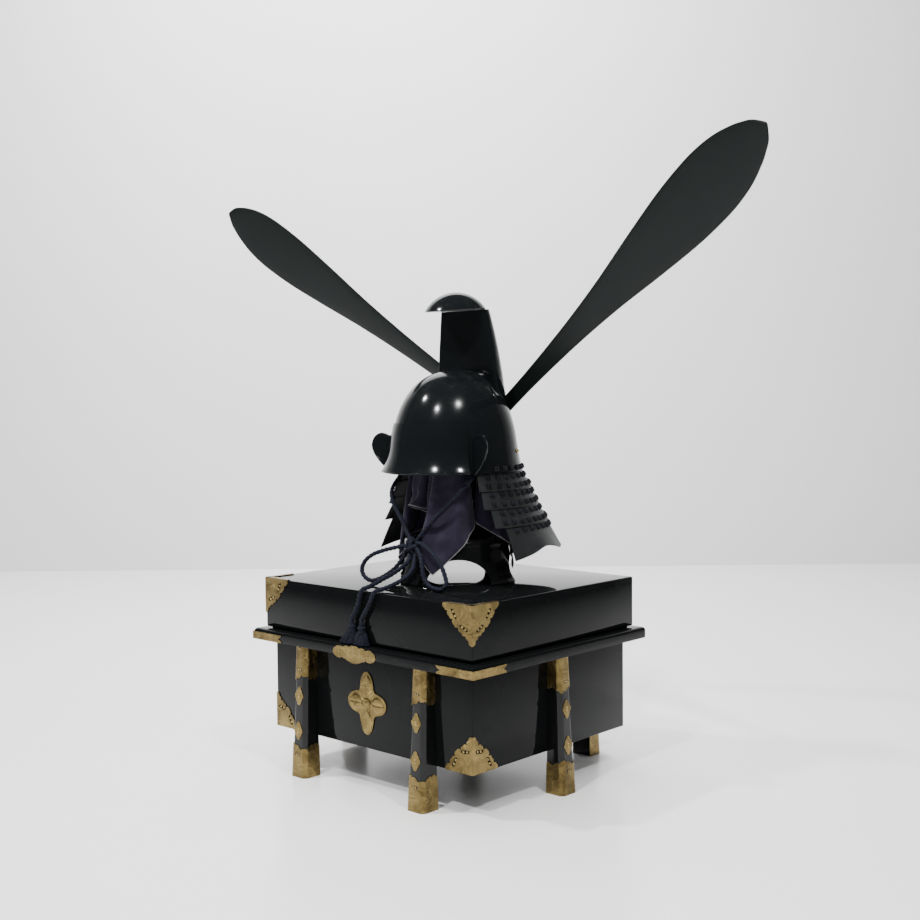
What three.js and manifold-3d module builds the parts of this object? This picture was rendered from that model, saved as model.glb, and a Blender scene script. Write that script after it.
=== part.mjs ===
// A black lacquered samurai helmet with a tall hooded crest and two long paddle wings,
// held by a post stand under a draped cloth on a six-legged chest with brass fittings.
// Millimetres, +Z up. The origin is on the floor below the helmet's centre; the helmet faces -Y.

import * as THREE from 'three';
import { mergeVertices } from 'three/addons/utils/BufferGeometryUtils.js';
import Module from 'manifold-3d';

const wasm = await Module();
wasm.setup();

const gap = 0.3; // clearance between neighbouring pieces

// Chest
const chestShiftX = -31.6; // chest centre beside the helmet's centre
const chestTop = 385;
const lidWidth = 570;
const lidDepth = 485;
const lidHeight = 100;
const lidWall = 10;
const lidEdge = 3;
const shadowGroove = 3; // dark line between lid and ledge
const ledgeOverhang = 19;
const ledgeHeight = 22;
const ledgeEdge = 6;
const bodyInset = 14; // body face behind the lid's face
const bodyBottom = 79;
const bodyWall = 12;
const bodyLip = 20; // body wall that stands up inside the lid
const legSpread = 163; // front and back legs each side of the chest's centre
const legTopWidth = 31;
const legTopDepth = 27;
const legFootWidth = 43;
const legFootDepth = 39;
const legEdge = 7;

// Brass fittings
const brassThick = 1.2;
const lidCornerReach = 70;
const lidCornerDrop = 72;
const lidCornerFlange = 10;
const bodyCornerReach = 66;
const bodyCornerRise = 69;
const bandReach = 90;
const bandTail = 10;
const legCapHeight = 67;
const shoeHeight = 67;
const scallopDepth = 13;
const pinHoleRadius = 2.6;
const keyPlateWidth = 118;
const keyPlateHeight = 33;
const ornamentWidth = 106;
const ornamentHeight = 122;
const ornamentThick = 2;
const ornamentZ = 167;

// Stand and its cloth
const standFootRadius = 129;
const standDrumRadius = 105;
const standDrumHeight = 86;
const standWall = 12;
const archWidth = 126;
const archHeight = 51;
const postRadius = 22;
const headRadius = 60;
const headThick = 22;
const clothSide = 634;
const clothThick = 2;
const clothTurn = 25; // degrees from +X to the first hanging corner
const clothCornerFlare = 82;
const clothSideFlare = 16;

// Helmet bowl and peak
const helmetY = -9; // bowl centre
const rimRise = 218; // bowl rim above the chest
const bowlHeight = 200;
const bowlHalfWidth = 122;
const bowlFront = 139;
const bowlBack = 132;
const bowlBackFlare = 20;
const bowlWall = 3;
const bowlFullness = 2.4; // exponent of the dome's profile
const peakHeight = 97;
const peakSpread = 57; // degrees each side of straight ahead
const peakWall = 2.5;
const peakFlare = 11;
const peakDip = 2;

// Crest
const hoodRise = 319.5; // hood rim above the bowl rim
const hoodRadius = 61;
const hoodHeight = 37;
const hoodTilt = 4; // degrees, tipped forward
const hoodY = 3;
const columnTopHalf = 60.5;
const columnTopFront = 23.5;
const columnTopBack = 64;
const columnFootHalf = 82;
const columnFootFront = 34.5;
const columnFootBack = 111;
const columnBackBulge = 5;
const ribWidth = 11;
const ribHeight = 2.6;
const ribY = 20;
const ribFoot = 141;

// Wings
const wingLength = 829;
const wingThick = 7;
const wingHalfWidth = 62;
const wingRise = 33.4; // degrees above level
const wingSweep = 11.6; // degrees forward
const wingLean = 20; // degrees, top edge forward
const wingRootX = 25;
const wingRootY = 123;
const wingRootRise = 127;
const socketHalfWidth = 24;
const socketHeight = 36;
const socketDepth = 13;

// Neck guard and turned-back plates
const lameWall = 2;
const lameOverlap = 10;
const lameGap = 0.9; // between a lame and the one it tucks into
const plateReach = 50;
const plateHeight = 74;
const plateSweep = 18; // degrees forward of straight out
const plateWall = 2.5;
const plateAngle = 28; // degrees on the rim where a plate springs from the bowl

// Cords and tassels
const cordRadius = 5;
const knotHalf = [20, 10, 18];
const knotAt = [3, -137, 463];
const tasselHalfWidth = 15;
const tasselHalfDepth = 7.5;
const tasselLength = 35;

const lacquer = new THREE.MeshStandardMaterial({ color: 0x0b0d0f, roughness: 0.12, metalness: 0 });
const wingBlack = new THREE.MeshStandardMaterial({ color: 0x0c0f0f, roughness: 0.6, metalness: 0 });
const brass = new THREE.MeshStandardMaterial({ color: 0xa8883f, roughness: 0.35, metalness: 1 });
const silk = new THREE.MeshStandardMaterial({ color: 0x121a33, roughness: 0.85, metalness: 0 });
const crepe = new THREE.MeshStandardMaterial({ color: 0x3a3348, roughness: 0.9, metalness: 0 });

const model = new THREE.Group();
const { PI, cos, sin, min, max, abs, sqrt, hypot } = Math;
const rad = THREE.MathUtils.degToRad;
const lerp = THREE.MathUtils.lerp;
const point = (x, y, z) => new THREE.Vector3(x, y, z);
const span = (count) => Array.from({ length: count }, (_, i) => i);
const shares = (steps) => span(steps + 1).map((i) => i / steps);

// Value of a column of a table at t, straight between rows
function along(table, key, column, t) {
  const next = table.findIndex((row) => row[key] >= t);
  if (next <= 0) return table[next === 0 ? 0 : table.length - 1][column];
  const [a, b] = [table[next - 1], table[next]];
  return lerp(a[column], b[column], (t - a[key]) / (b[key] - a[key]));
}

// Closed mesh with its faces out, from points and triangles that may repeat or collapse
function closed(positions, faces) {
  let geometry = new THREE.BufferGeometry();
  geometry.setAttribute('position', new THREE.Float32BufferAttribute(positions, 3));
  geometry.setIndex(faces);
  geometry = mergeVertices(geometry, 1e-3);
  const index = Array.from(geometry.index.array);
  const kept = [];
  for (let i = 0; i < index.length; i += 3) {
    const [a, b, c] = index.slice(i, i + 3);
    if (a !== b && b !== c && c !== a) kept.push(a, b, c);
  }
  geometry.setIndex(volume(geometry, kept) < 0 ? kept.reverse() : kept);
  return geometry;
}

function volume(geometry, index) {
  const corner = (i) => new THREE.Vector3().fromBufferAttribute(geometry.attributes.position, i);
  let sum = 0;
  for (let i = 0; i < index.length; i += 3) {
    sum += corner(index[i]).dot(corner(index[i + 1]).cross(corner(index[i + 2])));
  }
  return sum / 6;
}

// Wall between two grids of points, row by row; around joins the last column to the first
function wall(outer, inner, around) {
  const positions = [];
  const faces = [];
  const add = (grid) => grid.map((row) => row.map((p) => positions.push(p.x, p.y, p.z) / 3 - 1));
  const [a, b] = [add(outer), add(inner)];
  const [top, side] = [outer.length - 1, outer[0].length - 1];
  const quad = (p, q, r, s) => faces.push(p, q, r, p, r, s);
  for (let c = 0; c < (around ? side + 1 : side); c++) {
    const n = (c + 1) % (side + 1);
    for (let r = 0; r < top; r++) {
      quad(a[r][c], a[r][n], a[r + 1][n], a[r + 1][c]);
      quad(b[r][c], b[r + 1][c], b[r + 1][n], b[r][n]);
    }
    quad(a[0][c], b[0][c], b[0][n], a[0][n]);
    quad(a[top][c], a[top][n], b[top][n], b[top][c]);
  }
  if (!around) {
    for (let r = 0; r < top; r++) {
      quad(a[r][0], a[r + 1][0], b[r + 1][0], b[r][0]);
      quad(a[r][side], b[r][side], b[r + 1][side], a[r + 1][side]);
    }
  }
  return closed(positions, faces);
}

// Solid through rings of equal point count, with convex ends
function loft(rings) {
  const count = rings[0].length;
  const positions = rings.flat().flatMap((p) => [p.x, p.y, p.z]);
  const faces = [];
  for (let r = 0; r < rings.length - 1; r++) {
    for (let c = 0; c < count; c++) {
      const [p, q] = [r * count + c, r * count + ((c + 1) % count)];
      faces.push(p, q, q + count, p, q + count, p + count);
    }
  }
  const last = (rings.length - 1) * count;
  for (let c = 1; c < count - 1; c++) {
    faces.push(0, c + 1, c, last, last + c, last + c + 1);
  }
  return closed(positions, faces);
}

function bare(geometry) {
  const copy = geometry.clone();
  copy.deleteAttribute('normal');
  copy.deleteAttribute('uv');
  const merged = mergeVertices(copy, 1e-3);
  return closed(Array.from(merged.attributes.position.array), Array.from(merged.index.array));
}

function solid(geometry) {
  const merged = bare(geometry);
  const vertProperties = new Float32Array(merged.attributes.position.array);
  const triVerts = new Uint32Array(merged.index.array);
  return new wasm.Manifold(new wasm.Mesh({ numProp: 3, vertProperties, triVerts }));
}

function fromSolid(manifold) {
  const mesh = manifold.getMesh();
  return closed(Array.from(mesh.vertProperties), Array.from(mesh.triVerts));
}

const cut = (geometry, ...tools) =>
  fromSolid(tools.reduce((rest, tool) => rest.subtract(solid(tool)), solid(geometry)));
const join = (...geometries) =>
  fromSolid(geometries.slice(1).reduce((sum, g) => sum.add(solid(g)), solid(geometries[0])));
const both = (a, b) => fromSolid(solid(a).intersect(solid(b)));

function block(width, depth, z0, z1, edge = 0) {
  const ring = (inset, z) => {
    const [x, y] = [width / 2 - inset, depth / 2 - inset];
    return [point(-x, -y, z), point(x, -y, z), point(x, y, z), point(-x, y, z)];
  };
  const rings = [ring(0, z0), ring(0, z1 - edge)];
  if (edge > 0) rings.push(ring(edge, z1));
  return loft(rings);
}

// Plate drawn in X and Z, its back at y = 0 and its front at y = -thick
function plate(shape, thick) {
  const geometry = new THREE.ExtrudeGeometry(shape, {
    depth: thick, bevelEnabled: false, curveSegments: 3,
  });
  return geometry.rotateX(PI / 2);
}

function outline(points) {
  const path = points.map(([x, z]) => new THREE.Vector2(x, z));
  return new THREE.Shape(THREE.ShapeUtils.isClockWise(path) ? path.reverse() : path);
}

function pinHole(x, z) {
  return new THREE.Path().absarc(x, z, pinHoleRadius, 0, 2 * PI, true);
}

function piece(name, geometry, material, x = 0, y = 0, z = 0) {
  const mesh = new THREE.Mesh(geometry, material);
  mesh.name = name;
  mesh.position.set(x, y, z);
  return mesh;
}

// Chest: hollow body, ledge around it and a lid that lifts off

const bodyWidth = lidWidth - 2 * bodyInset;
const bodyDepth = lidDepth - 2 * bodyInset;
const lidBottom = chestTop - lidHeight;
const ledgeTop = lidBottom - shadowGroove;
const ledgeBottom = ledgeTop - ledgeHeight;
const ledgeWidth = lidWidth + 2 * ledgeOverhang;
const ledgeDepth = lidDepth + 2 * ledgeOverhang;
const lidSeat = 2; // part of the lid's wall that the ledge carries

function makeChest() {
  const chest = new THREE.Group();
  chest.position.x = chestShiftX;
  const body = cut(
    block(bodyWidth, bodyDepth, bodyBottom, lidBottom + bodyLip),
    block(bodyWidth - 2 * bodyWall, bodyDepth - 2 * bodyWall, bodyBottom + bodyWall, chestTop),
  );
  const lid = cut(
    block(lidWidth, lidDepth, lidBottom, chestTop, lidEdge),
    block(lidWidth - 2 * lidWall, lidDepth - 2 * lidWall, bodyBottom, chestTop - lidWall),
  );
  const stepInset = 2 * (lidWall - lidSeat);
  const ledge = cut(
    join(
      block(ledgeWidth, ledgeDepth, ledgeBottom, ledgeTop, ledgeEdge),
      block(lidWidth - stepInset, lidDepth - stepInset, ledgeBottom + gap, lidBottom - gap),
    ),
    block(bodyWidth + 2 * gap, bodyDepth + 2 * gap, bodyBottom, chestTop),
  );
  chest.add(piece('chest_body', body, lacquer));
  chest.add(piece('chest_ledge', ledge, lacquer));
  chest.add(piece('chest_lid', lid, lacquer));
  addLegs(chest);
  addCorners(chest);
  addFrontBrass(chest);
  return chest;
}

// Leg section at a height, grown outward; its back stays on the body's face
function legRing(z, grow, back) {
  const t = z / ledgeBottom;
  const x = lerp(legFootWidth, legTopWidth, t) / 2 + grow;
  const y = -lerp(legFootDepth, legTopDepth, t) - grow;
  const edge = legEdge;
  return [
    point(-x, back, z), point(-x, y + edge, z), point(-x + edge, y, z),
    point(x - edge, y, z), point(x, y + edge, z), point(x, back, z),
  ];
}

// Two-pointed outline across a leg, kept on the side of `open`
function points2(z, dip, open) {
  const half = legFootWidth;
  const mid = legFootWidth / 4;
  const line = [
    [-half, z + dip], [-mid * 2, z + dip], [-mid, z], [0, z + dip], [mid, z], [mid * 2, z + dip],
    [half, z + dip],
  ];
  const shape = outline([...line, [half, open], [-half, open]]);
  return plate(shape, 4 * legFootDepth).translate(0, legFootDepth, 0);
}

function legSleeve(z0, z1, back) {
  const skin = gap + brassThick;
  const outside = loft([legRing(z0, skin, back), legRing(z1, skin, back)]);
  const inside = loft([legRing(z0 - 1, gap, back + 1), legRing(z1 + 1, gap, back + 1)]);
  return [outside, inside];
}

function addLegs(chest) {
  const bodyFaceY = bodyDepth / 2 + gap;
  const bodyFaceX = bodyWidth / 2 + gap;
  const legs = [
    { name: 'front_left', x: -legSpread, y: -bodyFaceY, turn: 0 },
    { name: 'front_right', x: legSpread, y: -bodyFaceY, turn: 0 },
    { name: 'right', x: bodyFaceX, y: 0, turn: 90 },
    { name: 'back_right', x: legSpread, y: bodyFaceY, turn: 180 },
    { name: 'back_left', x: -legSpread, y: bodyFaceY, turn: 180 },
    { name: 'left', x: -bodyFaceX, y: 0, turn: 270 },
  ];
  const legTop = ledgeBottom - gap;
  const [capOut, capIn] = legSleeve(legTop - legCapHeight, legTop, 0);
  const [shoeOut, shoeIn] = legSleeve(0, shoeHeight, 0);
  const capPoints = points2(legTop - legCapHeight, scallopDepth, legTop - 2 * legCapHeight);
  const shoePoints = points2(shoeHeight, -scallopDepth, 2 * shoeHeight);
  const leg = loft([legRing(0, 0, 0), legRing(legTop, 0, 0)]);
  const cap = cut(capOut, capIn, capPoints);
  const shoe = cut(shoeOut, shoeIn, shoePoints);
  for (const { name, x, y, turn } of legs) {
    const group = new THREE.Group();
    group.position.set(x, y, 0);
    group.rotation.z = rad(turn);
    group.add(piece(`leg_${name}`, leg, lacquer));
    group.add(piece(`leg_cap_${name}`, cap, brass));
    group.add(piece(`leg_shoe_${name}`, shoe, brass));
    chest.add(group);
  }
}

// Half of a scalloped corner fitting: reach along the face, drop down the corner
const scallops = [
  { u: 1.0, v: 0.0 }, { u: 0.97, v: 0.14 }, { u: 0.84, v: 0.18 }, { u: 0.76, v: 0.3 },
  { u: 0.62, v: 0.33 }, { u: 0.6, v: 0.47 }, { u: 0.46, v: 0.58 }, { u: 0.32, v: 0.62 },
  { u: 0.26, v: 0.78 }, { u: 0.12, v: 0.84 },
];

function cornerHalf(reach, drop) {
  const skin = gap + brassThick;
  const edge = scallops.map(({ u, v }) => [-u * reach, -v * drop]);
  const shape = outline([[skin, 0], ...edge, [0, -drop], [skin, -drop]]);
  shape.holes.push(pinHole(-0.6 * reach, -0.22 * drop), pinHole(-0.28 * reach, -0.54 * drop));
  return plate(shape, brassThick).translate(0, -gap, 0);
}

// Both faces of a corner whose outside is +X and -Y
function wrapCorner(half, ...more) {
  const other = bare(half.clone().applyMatrix4(swapXY));
  return join(half, other, ...more);
}
const swapXY = new THREE.Matrix4().set(0, -1, 0, 0, -1, 0, 0, 0, 0, 0, 1, 0, 0, 0, 0, 1);

function addCorners(chest) {
  const skin = gap + brassThick;
  const reach = lidCornerReach;
  const lip = lidCornerFlange;
  const flangeFace = outline([[skin, gap], [-reach, gap], [-reach, skin], [skin, skin]]);
  const flange = plate(flangeFace, lip + skin).translate(0, lip, 0);
  const lidHalf = join(
    cornerHalf(reach, lidCornerDrop).translate(0, 0, skin),
    flange,
  );
  const lidCorner = wrapCorner(lidHalf);
  const bodyHalf = cornerHalf(bodyCornerReach, bodyCornerRise).scale(1, 1, -1);
  const bodyCorner = wrapCorner(bare(bodyHalf));
  const bandTop = ledgeHeight - ledgeEdge - gap;
  const band = outline([
    [skin, gap], [-bandReach, gap], [-bandReach + bandTail, bandTop / 2], [-bandReach, bandTop],
    [skin, bandTop],
  ]);
  band.holes.push(pinHole(-0.78 * bandReach, bandTop / 2));
  const ledgeBand = wrapCorner(plate(band, brassThick).translate(0, -gap, 0));
  const corners = [{ name: 'front_right', side: 1 }, { name: 'front_left', side: -1 }];
  const kinds = [
    { kind: 'lid_corner', shape: lidCorner, width: lidWidth, depth: lidDepth, z: chestTop },
    { kind: 'body_corner', shape: bodyCorner, width: bodyWidth, depth: bodyDepth, z: bodyBottom },
    { kind: 'ledge_band', shape: ledgeBand, width: ledgeWidth, depth: ledgeDepth, z: ledgeBottom },
  ];
  for (const { kind, shape, width, depth, z } of kinds) {
    for (const { name, side } of corners) {
      const turned = bare(shape.clone().scale(side, 1, 1));
      chest.add(piece(`${kind}_${name}`, turned, brass, (side * width) / 2, -depth / 2, z));
    }
  }
}

// Lobed key plate on the ledge and a plain four-lobed flower on the body's front
function addFrontBrass(chest) {
  const [w, h] = [keyPlateWidth / 2, keyPlateHeight];
  const lobes = [
    [-w, 0.55 * h], [-0.86 * w, 0.3 * h], [-0.5 * w, 0.28 * h], [-0.36 * w, 0.1 * h], [0, 0],
    [0.36 * w, 0.1 * h], [0.5 * w, 0.28 * h], [0.86 * w, 0.3 * h], [w, 0.55 * h],
    [0.86 * w, 0.82 * h], [0.4 * w, 0.86 * h], [0, h], [-0.4 * w, 0.86 * h], [-0.86 * w, 0.82 * h],
  ];
  const keyPlate = plate(outline(lobes), brassThick);
  chest.add(piece('key_plate', keyPlate, brass, 0, -ledgeDepth / 2 - gap, ledgeTop - h));
  const petal = (angle) => 0.78 + 0.22 * cos(4 * angle);
  const flower = outline(
    span(32).map((i) => {
      const angle = (2 * PI * i) / 32;
      const r = petal(angle) / 2;
      return [ornamentWidth * r * cos(angle), ornamentHeight * r * sin(angle)];
    }),
  );
  const ornament = plate(flower, ornamentThick);
  chest.add(piece('front_ornament', ornament, brass, 0, -bodyDepth / 2 - gap, ornamentZ));
}

// Stand: a hollow drum with four arches, a post and a domed head inside the bowl

const standZ = chestTop + gap;
const bowlRimZ = chestTop + rimRise;
const headTop = bowlRimZ + bowlHeight - bowlWall - clothThick - 3 * gap;

function domeDrop(r) {
  const half = bowlHalfWidth - 3 * bowlWall;
  const share = (1 - (r / half) ** bowlFullness) ** (1 / bowlFullness);
  return bowlHeight * (1 - share);
}

function makeStand() {
  const h = standDrumHeight;
  const top = headTop - standZ;
  const headEdge = top - domeDrop(headRadius) - 4 * gap;
  const rim = { r: headRadius, z: headEdge - 2 };
  const section = [
    [0, h - standWall], [standDrumRadius - standWall, h - standWall],
    [standDrumRadius - 0.8 * standWall, 0.6 * h], [standFootRadius - standWall, 0],
    [standFootRadius, 0], [lerp(standFootRadius, standDrumRadius, 0.35), 0.22 * h],
    [lerp(standFootRadius, standDrumRadius, 0.8), 0.5 * h], [standDrumRadius, 0.95 * h],
    [standDrumRadius - 6, 1.02 * h], [postRadius + 8, 1.08 * h], [postRadius, 1.16 * h],
    [postRadius, rim.z - headThick], [rim.r - 4, rim.z - 8], [rim.r, rim.z],
    [0.85 * rim.r, top - domeDrop(0.85 * rim.r)], [0.5 * rim.r, top - domeDrop(0.5 * rim.r)],
    [0, top],
  ];
  const turned = new THREE.LatheGeometry(section.map(([r, z]) => new THREE.Vector2(r, z)), 32);
  const [w, a] = [archWidth / 2, archHeight];
  const curve = shares(12).map((t) => [w * cos(PI * t), a * sin(PI * t)]);
  const arch = outline([[w, -1], ...curve, [-w, -1]]);
  const through = plate(arch, 3 * standFootRadius).translate(0, 1.5 * standFootRadius, 0);
  const arches = [45, 135].map((turn) => through.clone().rotateZ(rad(turn)));
  const stand = cut(turned.rotateX(PI / 2), ...arches);
  model.add(piece('stand', stand, lacquer, 0, helmetY, standZ));
}

// Square cloth over the head, its four corners hanging outside the drum
const clothRows = [
  { hang: 0, spread: 0 }, { hang: 0.12, spread: 0.01 }, { hang: 0.3, spread: 0.07 },
  { hang: 0.5, spread: 0.25 }, { hang: 0.7, spread: 0.52 }, { hang: 0.86, spread: 0.78 },
  { hang: 1, spread: 1 },
];

function makeCloth() {
  const columns = 40;
  const zEdge = headTop - domeDrop(headRadius) - 3 * gap;
  const hangAt = (angle) => {
    const local = abs(((angle - rad(clothTurn)) % (PI / 2)) - PI / 4);
    const folded = min(local, PI / 2 - local);
    return clothSide / 2 / cos(folded) - headRadius - 4;
  };
  const middle = clothSide / 2 - headRadius - 4;
  const corner = (clothSide / 2) * sqrt(2) - headRadius - 4;
  const skin = (offset) => {
    const dome = [1, 0.85, 0.5, 0].map((share) =>
      span(columns).map((c) => {
        const angle = rad(clothTurn) + (2 * PI * c) / columns;
        const r = share * (headRadius + 2 * gap + offset);
        const z = headTop + 2 * gap - domeDrop(share * headRadius) + offset;
        return point(r * cos(angle), r * sin(angle), z);
      }),
    );
    const hanging = clothRows.slice(1).map(({ hang, spread }) =>
      span(columns).map((c) => {
        const angle = rad(clothTurn) + (2 * PI * c) / columns;
        const length = hangAt(angle);
        const toCorner = (length - middle) / (corner - middle);
        const flare = lerp(clothSideFlare, clothCornerFlare, toCorner);
        const r = headRadius + 2 * gap + flare * spread + offset;
        const fall = sqrt(length ** 2 - flare ** 2) * hang;
        return point(r * cos(angle), r * sin(angle), zEdge - fall);
      }),
    );
    return [...hanging.reverse(), ...dome];
  };
  const cloth = wall(skin(clothThick), skin(0), true);
  model.add(piece('stand_cloth', cloth, crepe, 0, helmetY, 0));
}

// Helmet

const helmet = new THREE.Group();
helmet.position.set(0, helmetY, bowlRimZ);

// Point on the bowl: angle from +X, height above the rim, offset outward
function onBowl(angle, z, offset) {
  const h = min(z / bowlHeight, 1);
  const share = (1 - max(h, 0) ** bowlFullness) ** (1 / bowlFullness);
  const flare = bowlBackFlare * max(0, 1 - h / 0.3) ** 2;
  const front = bowlFront * share + offset;
  const back = (bowlBack + flare) * share + offset;
  const x = (bowlHalfWidth * share + offset) * cos(angle);
  const y = (sin(angle) > 0 ? back : front) * sin(angle);
  return point(x, y, z);
}

const bowlHeights = [0, 0.12, 0.28, 0.45, 0.6, 0.73, 0.84, 0.92, 0.97];

function bowlSkin(offset, foot, columns) {
  const ring = (z) => span(columns).map((c) => onBowl((2 * PI * c) / columns, z, offset));
  const rings = bowlHeights.map((h) => ring(h === 0 ? foot : h * bowlHeight));
  rings.push(span(columns).map(() => point(0, 0, bowlHeight + offset)));
  return rings;
}

// The bowl as a full solid, grown by an offset, to cut what sits on it
function bowlCore(offset) {
  const rings = bowlSkin(offset, -1, 36);
  const base = rings[0].map(() => point(0, 0, -1));
  return closedStack([base, ...rings]);
}

function closedStack(rings) {
  const count = rings[0].length;
  const positions = rings.flat().flatMap((p) => [p.x, p.y, p.z]);
  const faces = [];
  for (let r = 0; r < rings.length - 1; r++) {
    for (let c = 0; c < count; c++) {
      const [p, q] = [r * count + c, r * count + ((c + 1) % count)];
      faces.push(p, q, q + count, p, q + count, p + count);
    }
  }
  return closed(positions, faces);
}

function makeBowl() {
  helmet.add(piece('bowl', wall(bowlSkin(0, 0, 36), bowlSkin(-bowlWall, 0, 36), true), lacquer));
}

// Peak: a brow plate over the bowl's front that flares to a rim
const peakRows = [
  { rise: 0, flare: 1 }, { rise: 0.05, flare: 0.86 }, { rise: 0.14, flare: 0.55 },
  { rise: 0.28, flare: 0.2 }, { rise: 0.5, flare: 0 }, { rise: 0.78, flare: 0 },
  { rise: 1, flare: 0 },
];

function makePeak() {
  const columns = 24;
  const skin = (offset) =>
    peakRows.map(({ rise, flare }) =>
      shares(columns).map((t) => {
        const side = rad(lerp(-peakSpread, peakSpread, t));
        const dip = peakDip * Math.exp(-((side / rad(28)) ** 2)) * (1 - rise) ** 3;
        const foot = 3;
        const z = foot + rise * (peakHeight - foot) - dip;
        const swell = peakFlare * flare * (1 + 0.35 * sin(2 * abs(side)));
        const p = onBowl(side - PI / 2, max(z, 0), gap + offset + swell);
        return point(p.x, p.y, z);
      }),
    );
  helmet.add(piece('peak', wall(skin(peakWall), skin(0), false), lacquer));
}

// Crest column: flat in front and round behind, seated on the bowl
const columnSeat = hoodRadius * sin(rad(hoodTilt)) + 1;

function columnRing(t, raise = 0) {
  const half = lerp(columnFootHalf, columnTopHalf, t);
  const front = lerp(columnFootFront, columnTopFront, t);
  const back = lerp(columnFootBack, columnTopBack, t) + 4 * columnBackBulge * t * (1 - t);
  const z = lerp(wingRootRise, hoodRise - columnSeat, t) + raise;
  return [
    point(-half, front, z), point(half, front, z),
    ...shares(12).slice(1, 12).map((s) => {
      const angle = PI * s;
      return point(half * cos(angle), front + (back - front) * sin(angle), z);
    }),
  ];
}

function socketRoom() {
  const half = socketHeight / 2 + gap;
  const room = block(2 * (socketHalfWidth + gap), 2 * (socketDepth + gap), -half, half);
  return room.translate(0, wingRootY, wingRootRise);
}

function makeCrest() {
  const tilt = new THREE.Matrix4().makeRotationX(rad(hoodTilt)).setPosition(0, hoodY, hoodRise);
  const capHeight = hoodHeight - 2;
  const ball = (hoodRadius ** 2 + capHeight ** 2) / (2 * capHeight);
  const dome = shares(7).map((t) => {
    const r = hoodRadius * cos((PI / 2) * t);
    return new THREE.Vector2(r, hoodHeight - ball + sqrt(ball ** 2 - r ** 2));
  });
  const profile = [new THREE.Vector2(0, 0), new THREE.Vector2(hoodRadius - 2, 0), ...dome];
  profile[profile.length - 1].x = 0;
  const hood = bare(new THREE.LatheGeometry(profile, 32).rotateX(PI / 2));
  const above = bare(new THREE.CylinderGeometry(2 * hoodRadius, 2 * hoodRadius, 4 * hoodHeight, 8));
  above.rotateX(PI / 2).translate(0, 0, 2 * hoodHeight - gap).applyMatrix4(tilt);
  const rings = shares(4).map((t) => columnRing(t));
  const column = cut(loft([...rings, columnRing(1, 2 * columnSeat)]), bowlCore(gap), above, socketRoom());
  helmet.add(piece('crest_column', column, lacquer));
  helmet.add(piece('crest_hood', hood.applyMatrix4(tilt), lacquer));
}

// Thin rib over the crown, just in front of the crest column
function makeRib() {
  const steps = 28;
  const footShare = onBowl(0, ribFoot, 0).x / bowlHalfWidth;
  const start = Math.acos(min(footShare, 1));
  const ring = (t) => {
    const x = bowlHalfWidth * footShare * cos(PI * t);
    const at = (y, offset) => {
      const share = hypot(x / bowlHalfWidth, y / bowlBack);
      const h = (1 - share ** bowlFullness) ** (1 / bowlFullness);
      const up = point(x / bowlHalfWidth, y / bowlBack, h).normalize();
      return point(x, y, bowlHeight * h).addScaledVector(up, offset);
    };
    const [y0, y1] = [ribY - ribWidth / 2, ribY + ribWidth / 2];
    return [at(y0, -ribHeight), at(y0, ribHeight), at(y1, ribHeight), at(y1, -ribHeight)];
  };
  const strip = loft(shares(steps).map(ring));
  helmet.add(piece('crown_rib', cut(strip, bowlCore(gap)), lacquer));
  return start;
}

// Wings: flat leaf-shaped paddles, widest in the outer third
const leaf = [
  { at: 0, half: 0.24 }, { at: 0.12, half: 0.26 }, { at: 0.3, half: 0.37 }, { at: 0.45, half: 0.54 },
  { at: 0.6, half: 0.79 }, { at: 0.72, half: 0.97 }, { at: 0.82, half: 1 }, { at: 0.87, half: 0.93 },
  { at: 0.9, half: 0.84 }, { at: 0.93, half: 0.63 }, { at: 0.96, half: 0.37 },
  { at: 0.985, half: 0.17 },
];

function makeWings() {
  const start = -wingRootX / wingLength;
  const rows = [{ at: start, half: leaf[0].half }, ...leaf];
  const edge = (sign) => rows.map(({ at, half }) => [at * wingLength, sign * half * wingHalfWidth]);
  const shape = outline([...edge(-1), [wingLength, 0], ...edge(1).reverse()]);
  const flat = new THREE.ExtrudeGeometry(shape, { depth: wingThick, bevelEnabled: false });
  flat.translate(0, 0, -wingThick / 2);
  const out = point(
    cos(rad(wingRise)) * cos(rad(wingSweep)), -cos(rad(wingRise)) * sin(rad(wingSweep)),
    sin(rad(wingRise)),
  );
  const up = point(0, 0, 1).addScaledVector(out, -out.z).normalize();
  up.applyAxisAngle(out, rad(wingLean));
  const face = out.clone().cross(up);
  const place = new THREE.Matrix4().makeBasis(out, up, face);
  place.setPosition(wingRootX, wingRootY, wingRootRise);
  const socket = cut(
    block(2 * socketHalfWidth, 2 * socketDepth, -socketHeight / 2, socketHeight / 2, 4)
      .translate(0, wingRootY, wingRootRise),
    bowlCore(gap),
  );
  const seat = block(
    2 * (socketHalfWidth + gap), 4 * socketDepth, -socketHeight, socketHeight,
  ).translate(0, wingRootY, wingRootRise);
  const right = cut(bare(flat).applyMatrix4(place), seat);
  const left = bare(right.clone().scale(-1, 1, 1));
  helmet.add(piece('wing_socket', socket, lacquer));
  helmet.add(piece('wing_right', right, wingBlack));
  helmet.add(piece('wing_left', left, wingBlack));
}

// Neck guard: four lames, each tucked inside the one above and flared below it
const lames = [
  { drop: 33, half: 132, back: 176, open: -27 },
  { drop: 67, half: 144, back: 193, open: -25 },
  { drop: 102, half: 160, back: 216, open: -19 },
  { drop: 152, half: 188, back: 241, open: -10 },
];
// Lower edge of the last lame, from its front corner to the back
const hem = [
  { angle: -10, drop: 11 }, { angle: 4, drop: 2 }, { angle: 15, drop: -9 }, { angle: 26, drop: -5 },
  { angle: 38, drop: 3 }, { angle: 60, drop: 1 }, { angle: 90, drop: 0 },
];

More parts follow.
